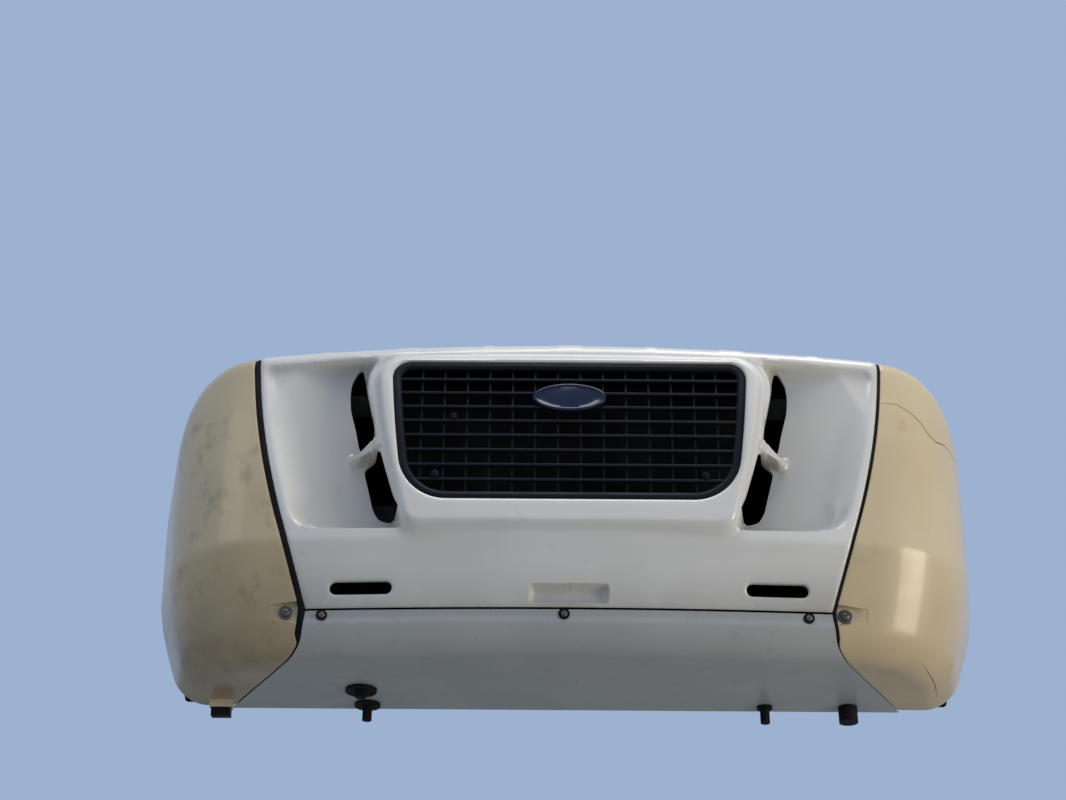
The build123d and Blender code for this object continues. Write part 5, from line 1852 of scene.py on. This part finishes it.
    def scoop_guides(self) -> list[Points]:
        """Follow the scoop's rim and its edge beside the frame.

        Returns:
            One line of points for each distance from them.
        """
        lines = []
        for grow in (3, 0, -3, -6, -10, -16, -24):
            x, z = np.array(self.scoop.loop(grow, 6.0)).T
            lines.append(np.stack([x, z - self.crown_fall(x, z)], axis=1)[x > 440])
        levels = np.arange(-60, 340, 5.0)
        side = self.surround.cx + np.sqrt(self.surround.radius ** 2 - (levels - self.surround.cz) ** 2)
        return lines + [np.stack([side + self.pocket_edge(levels) + extra, levels], axis=1)
                        for extra in (-7, -3, 1, 5, 9, 13, 17)]

    def fin_guides(self) -> list[Points]:
        """Follow both flanks of the fin and go round its tip.

        Returns:
            Lines of points for each distance from the fin.
        """
        lines = []
        length, ux, uz = self.fin_run()
        run = np.arange(-6, length + 1, 4.0)
        turn = np.radians(np.linspace(-90, 90, 9))
        for extra in (-4, -1, 2, 5, 9):
            half, tip = self.fin_width(run / length) + extra, self.fin_half[1] + extra
            rounds = [(self.fin_root, run, -half), (self.fin_root, run, half),
                      (self.fin_tip, tip * np.cos(turn), tip * np.sin(turn))]
            lines += [np.stack([x + ahead * ux - aside * uz, z + ahead * uz + aside * ux], axis=1)
                      for (x, z), ahead, aside in rounds]
        return lines

    def edge_guides(self) -> list[Points]:
        """Follow the grip, the chin slot, the seam and the foot.

        Returns:
            One line of points for each distance from them.
        """
        lines = [box_loop(self.grip, self.grip_radius, grow, 5.0) for grow in (0.5, -2, -5, -8)]
        lines += [box_loop(self.chin_slot, self.chin_slot_radius, grow, 5.0) for grow in (1.5, 4.0, 7.0)]
        levels, xs = np.arange(self.foot_z + 2, SEAM_TOP_Z, 5.0), np.arange(0, 572, 6.0)
        for inset in (1.0, 2.6, 5.0):
            lines.append(np.stack([seam_x(levels) - inset, levels], axis=1))
            lines.append(np.stack([xs, xs * 0 + self.foot_z + inset], axis=1))
        return lines

    def top_guides(self) -> list[Points]:
        """Follow the rolled top and the edges of its ribs.

        Returns:
            One line of points.
        """
        points = []
        for x in np.arange(0, 706, 8.0):
            points += [(x, self.level_top(x) + SKIN.top_roll * a) for a in np.linspace(0, math.pi / 2, 9)]
        for centre, width in self.ribs:
            for extra in (-2, 1, 4):
                points += [(abs(centre + side * (width / 2 + extra)), w) for side in (-1, 1)
                           for w in np.arange(365.0, 465.0, 6.0)]
        return [np.array(points)]

    def rim_loop(self) -> Points:
        """Join the pattern's outline and the grille opening, which is open to the middle, into one loop.

        Returns:
            The loop, by the foot, the side, the top, down the middle, round the opening and down again.
        """
        outline, opening = self.outline(), np.array(GRILLE_OPENING.loop(0.0, 5.0))
        runs = []
        for high, low in ((outline[-1, 1] - 8, opening[0, 1] + 4), (opening[-1, 1] - 8, self.foot_z + 4)):
            levels = np.arange(high, low, -8.0)
            runs.append(np.stack([levels * 0, levels], axis=1))
        return np.concatenate([outline, runs[0], opening, runs[1]])

    def make_half(self) -> bpy.types.Object:
        """Mesh the right half of the flat pattern and lay it on the front.

        Returns:
            The half cover as a single sheet.
        """
        rim, holes = self.rim_loop(), self.holes()

        def within(points: Points) -> Points:
            """Whether points lie in the pattern and in none of its holes."""
            return contains(rim, points) & ~np.any([contains(hole, points) for hole in holes], axis=0)

        fixed = np.concatenate([rim, *holes])
        free = thin(fixed, self.guides(), *self.guide_apart)
        grid = np.stack(np.meshgrid(np.arange(0, 716, self.spacing),
                                    np.arange(self.foot_z + 6, 520, self.spacing * 0.9)), axis=-1)
        inner = thin(np.concatenate([fixed, free]), grid.reshape(-1, 2), *self.grid_apart)
        free = np.concatenate([free, inner])
        flat = np.concatenate([fixed, free[within(free)]])
        flat[:, 0] = np.where(np.abs(flat[:, 0]) < 0.3, 0.0, flat[:, 0])
        result = delaunay_2d_cdt([Vector(p) for p in flat], joined_edges([rim, *holes]), [], 0, 1e-5)
        corners = np.array([tuple(v) for v in result[0]])
        faces = np.array([f for f in result[2] if len(f) == 3])
        faces = faces[within(corners[faces].mean(axis=1))]
        cover = mesh_piece("front_cover_shell", self.place(corners), faces.tolist())
        in_edit_mode(cover, (bpy.ops.mesh.delete_loose, {}))
        face_towards(cover, AHEAD)
        return cover

    def hem(self, cover: bpy.types.Object) -> None:
        """Turn the edges of the openings back into the cover.

        Args:
            cover: The whole cover as a single sheet.
        """
        select_only(cover)
        bpy.ops.object.mode_set(mode="EDIT")
        for depth, wanted in zip(self.hems, (self.at_grille, self.at_slot)):
            mesh = bmesh.from_edit_mesh(cover.data)
            for element in (*mesh.verts, *mesh.edges, *mesh.faces):
                element.select = False
            for edge in mesh.edges:
                middle = (edge.verts[0].co + edge.verts[1].co) / 2
                if edge.is_boundary and wanted(abs(middle.x) / MM, middle.z / MM):
                    edge.select = True
                    for vertex in edge.verts:
                        vertex.select = True
            bmesh.update_edit_mesh(cover.data)
            bpy.ops.mesh.extrude_edges_move(TRANSFORM_OT_translate={"value": (0, depth * MM, 0)})
        bpy.ops.object.mode_set(mode="OBJECT")

    def at_grille(self, x: float, z: float) -> bool:
        """Whether a place is on the grille opening's edge."""
        return bool(abs(GRILLE_OPENING.distance(x, z)) < 1.0)

    def at_slot(self, x: float, z: float) -> bool:
        """Find out whether a place is on the edge of a slot or a chin slot.

        Args:
            x: Distance from the middle.
            z: Height.

        Returns:
            Whether it is.
        """
        (chin_x, chin_z, half, high), margin = self.chin_slot, 2.5
        in_chin = abs(x - chin_x) < half + margin and abs(z - chin_z) < high + margin
        low_x, high_x, low_z, high_z = self.slot_zone
        in_scoop = low_x < x < high_x and low_z < z < high_z and x < float(seam_x(z)) - 40
        return (in_scoop and not self.at_grille(x, z)) or in_chin


@dataclass
class Studio:
    """Camera, lights, floor and backdrop, in metres. None of them belongs to the unit."""

    camera_place: tuple[float, float, float] = (-0.082, -4.40, -1.394)
    focal_pixels: float = 1900.0
    frame_pixels: float = 1066.0
    horizon_pixels: float = 4633.0
    roll: float = math.radians(0.41)
    sensor: float = 36.0
    floor_z: float = -1.394
    floor_half: float = 30.0
    sky: str = "B4CBEE"
    sky_strength: float = 0.74

    def build(self) -> None:
        """Make everything round the unit."""
        self.make_camera()
        self.make_floor()
        self.make_lights()
        self.make_backdrop()

    def make_camera(self) -> None:
        """Put the camera at the photograph's place, looking up at the unit."""
        pitch = math.atan(self.focal_pixels / self.horizon_pixels)
        forward = Vector((0, math.cos(pitch), math.sin(pitch)))
        down = Vector((0, math.sin(pitch), -math.cos(pitch)))
        right = Vector((1, 0, 0))
        rolled_right = right * math.cos(self.roll) - down * math.sin(self.roll)
        rolled_down = right * math.sin(self.roll) + down * math.cos(self.roll)
        data = bpy.data.cameras.new("camera")
        data.sensor_width = self.sensor
        data.lens = self.focal_pixels / self.frame_pixels * self.sensor
        camera = bpy.data.objects.new("camera", data)
        turn = Matrix((rolled_right, -rolled_down, -forward)).transposed()
        camera.matrix_world = Matrix.Translation(self.camera_place) @ turn.to_4x4()
        bpy.context.scene.collection.objects.link(camera)
        bpy.context.scene.camera = camera

    def make_floor(self) -> None:
        """Lay the pale floor at the camera's level."""
        deselect()
        bpy.ops.mesh.primitive_grid_add(x_subdivisions=4, y_subdivisions=4, size=2 * self.floor_half,
                                        location=(0, 0, self.floor_z))
        floor = bpy.context.object
        floor.name = "floor"
        dress(floor, Finish("pale_floor", "AEABA4", "A9A69F", "A09D96", 0.75, tint_mm=900, dirt_share=0.1))

    def make_lights(self) -> None:
        """Hang the soft lights. Columns: name, place, aim, width, height, watts, colour."""
        rows = (("key", (3.7, -2.3, -0.5), (0.5, -0.3, -0.1), 1.6, 1.6, 62, "FFF0D8"),
                ("top", (0.5, -1.2, 3.0), (0, -0.4, 0.3), 3.0, 1.2, 60, "FFFAF2"),
                ("side", (-3.4, -2.6, 1.4), (-0.5, -0.3, 0.1), 1.6, 1.6, 12, "FFEBD0"))
        for name, place, aim, width, height, watts, tone in rows:
            data = bpy.data.lights.new(name, "AREA")
            data.shape, data.size, data.size_y = "RECTANGLE", width, height
            data.energy, data.color = watts, colour(tone)[:3]
            lamp = bpy.data.objects.new(name, data)
            lamp.location = place
            lamp.rotation_euler = (Vector(aim) - Vector(place)).to_track_quat("-Z", "Y").to_euler()
            bpy.context.scene.collection.objects.link(lamp)

    def make_backdrop(self) -> None:
        """Surround the unit with an even pale sky."""
        world = bpy.data.worlds.new("pale_surround")
        world.use_nodes = True
        background = world.node_tree.nodes["Background"]
        background.inputs["Color"].default_value = colour(self.sky)
        background.inputs["Strength"].default_value = self.sky_strength
        bpy.context.scene.world = world
        bpy.context.scene.view_settings.view_transform = "Standard"


def carry_over() -> None:
    """Dress the nodes whose shape stays as packed."""
    for name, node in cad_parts.items():
        material = material_of(NODE_FINISH[name])
        for slot in node.material_slots:
            slot.material = material
        if not node.material_slots:
            node.data.materials.append(material)
        log.info("dressed %s with %s", name, material.name)


def main() -> None:
    """Build the studio and the unit in order."""
    logging.basicConfig(level=logging.INFO, format="%(message)s")
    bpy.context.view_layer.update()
    Studio().build()
    carry_over()
    Doors().build()
    Latches().build()
    SealStrips().build()
    FrontCover().build()
    Grille().build()
    LowerPanel().build()


if __name__ == "__main__":
    main()
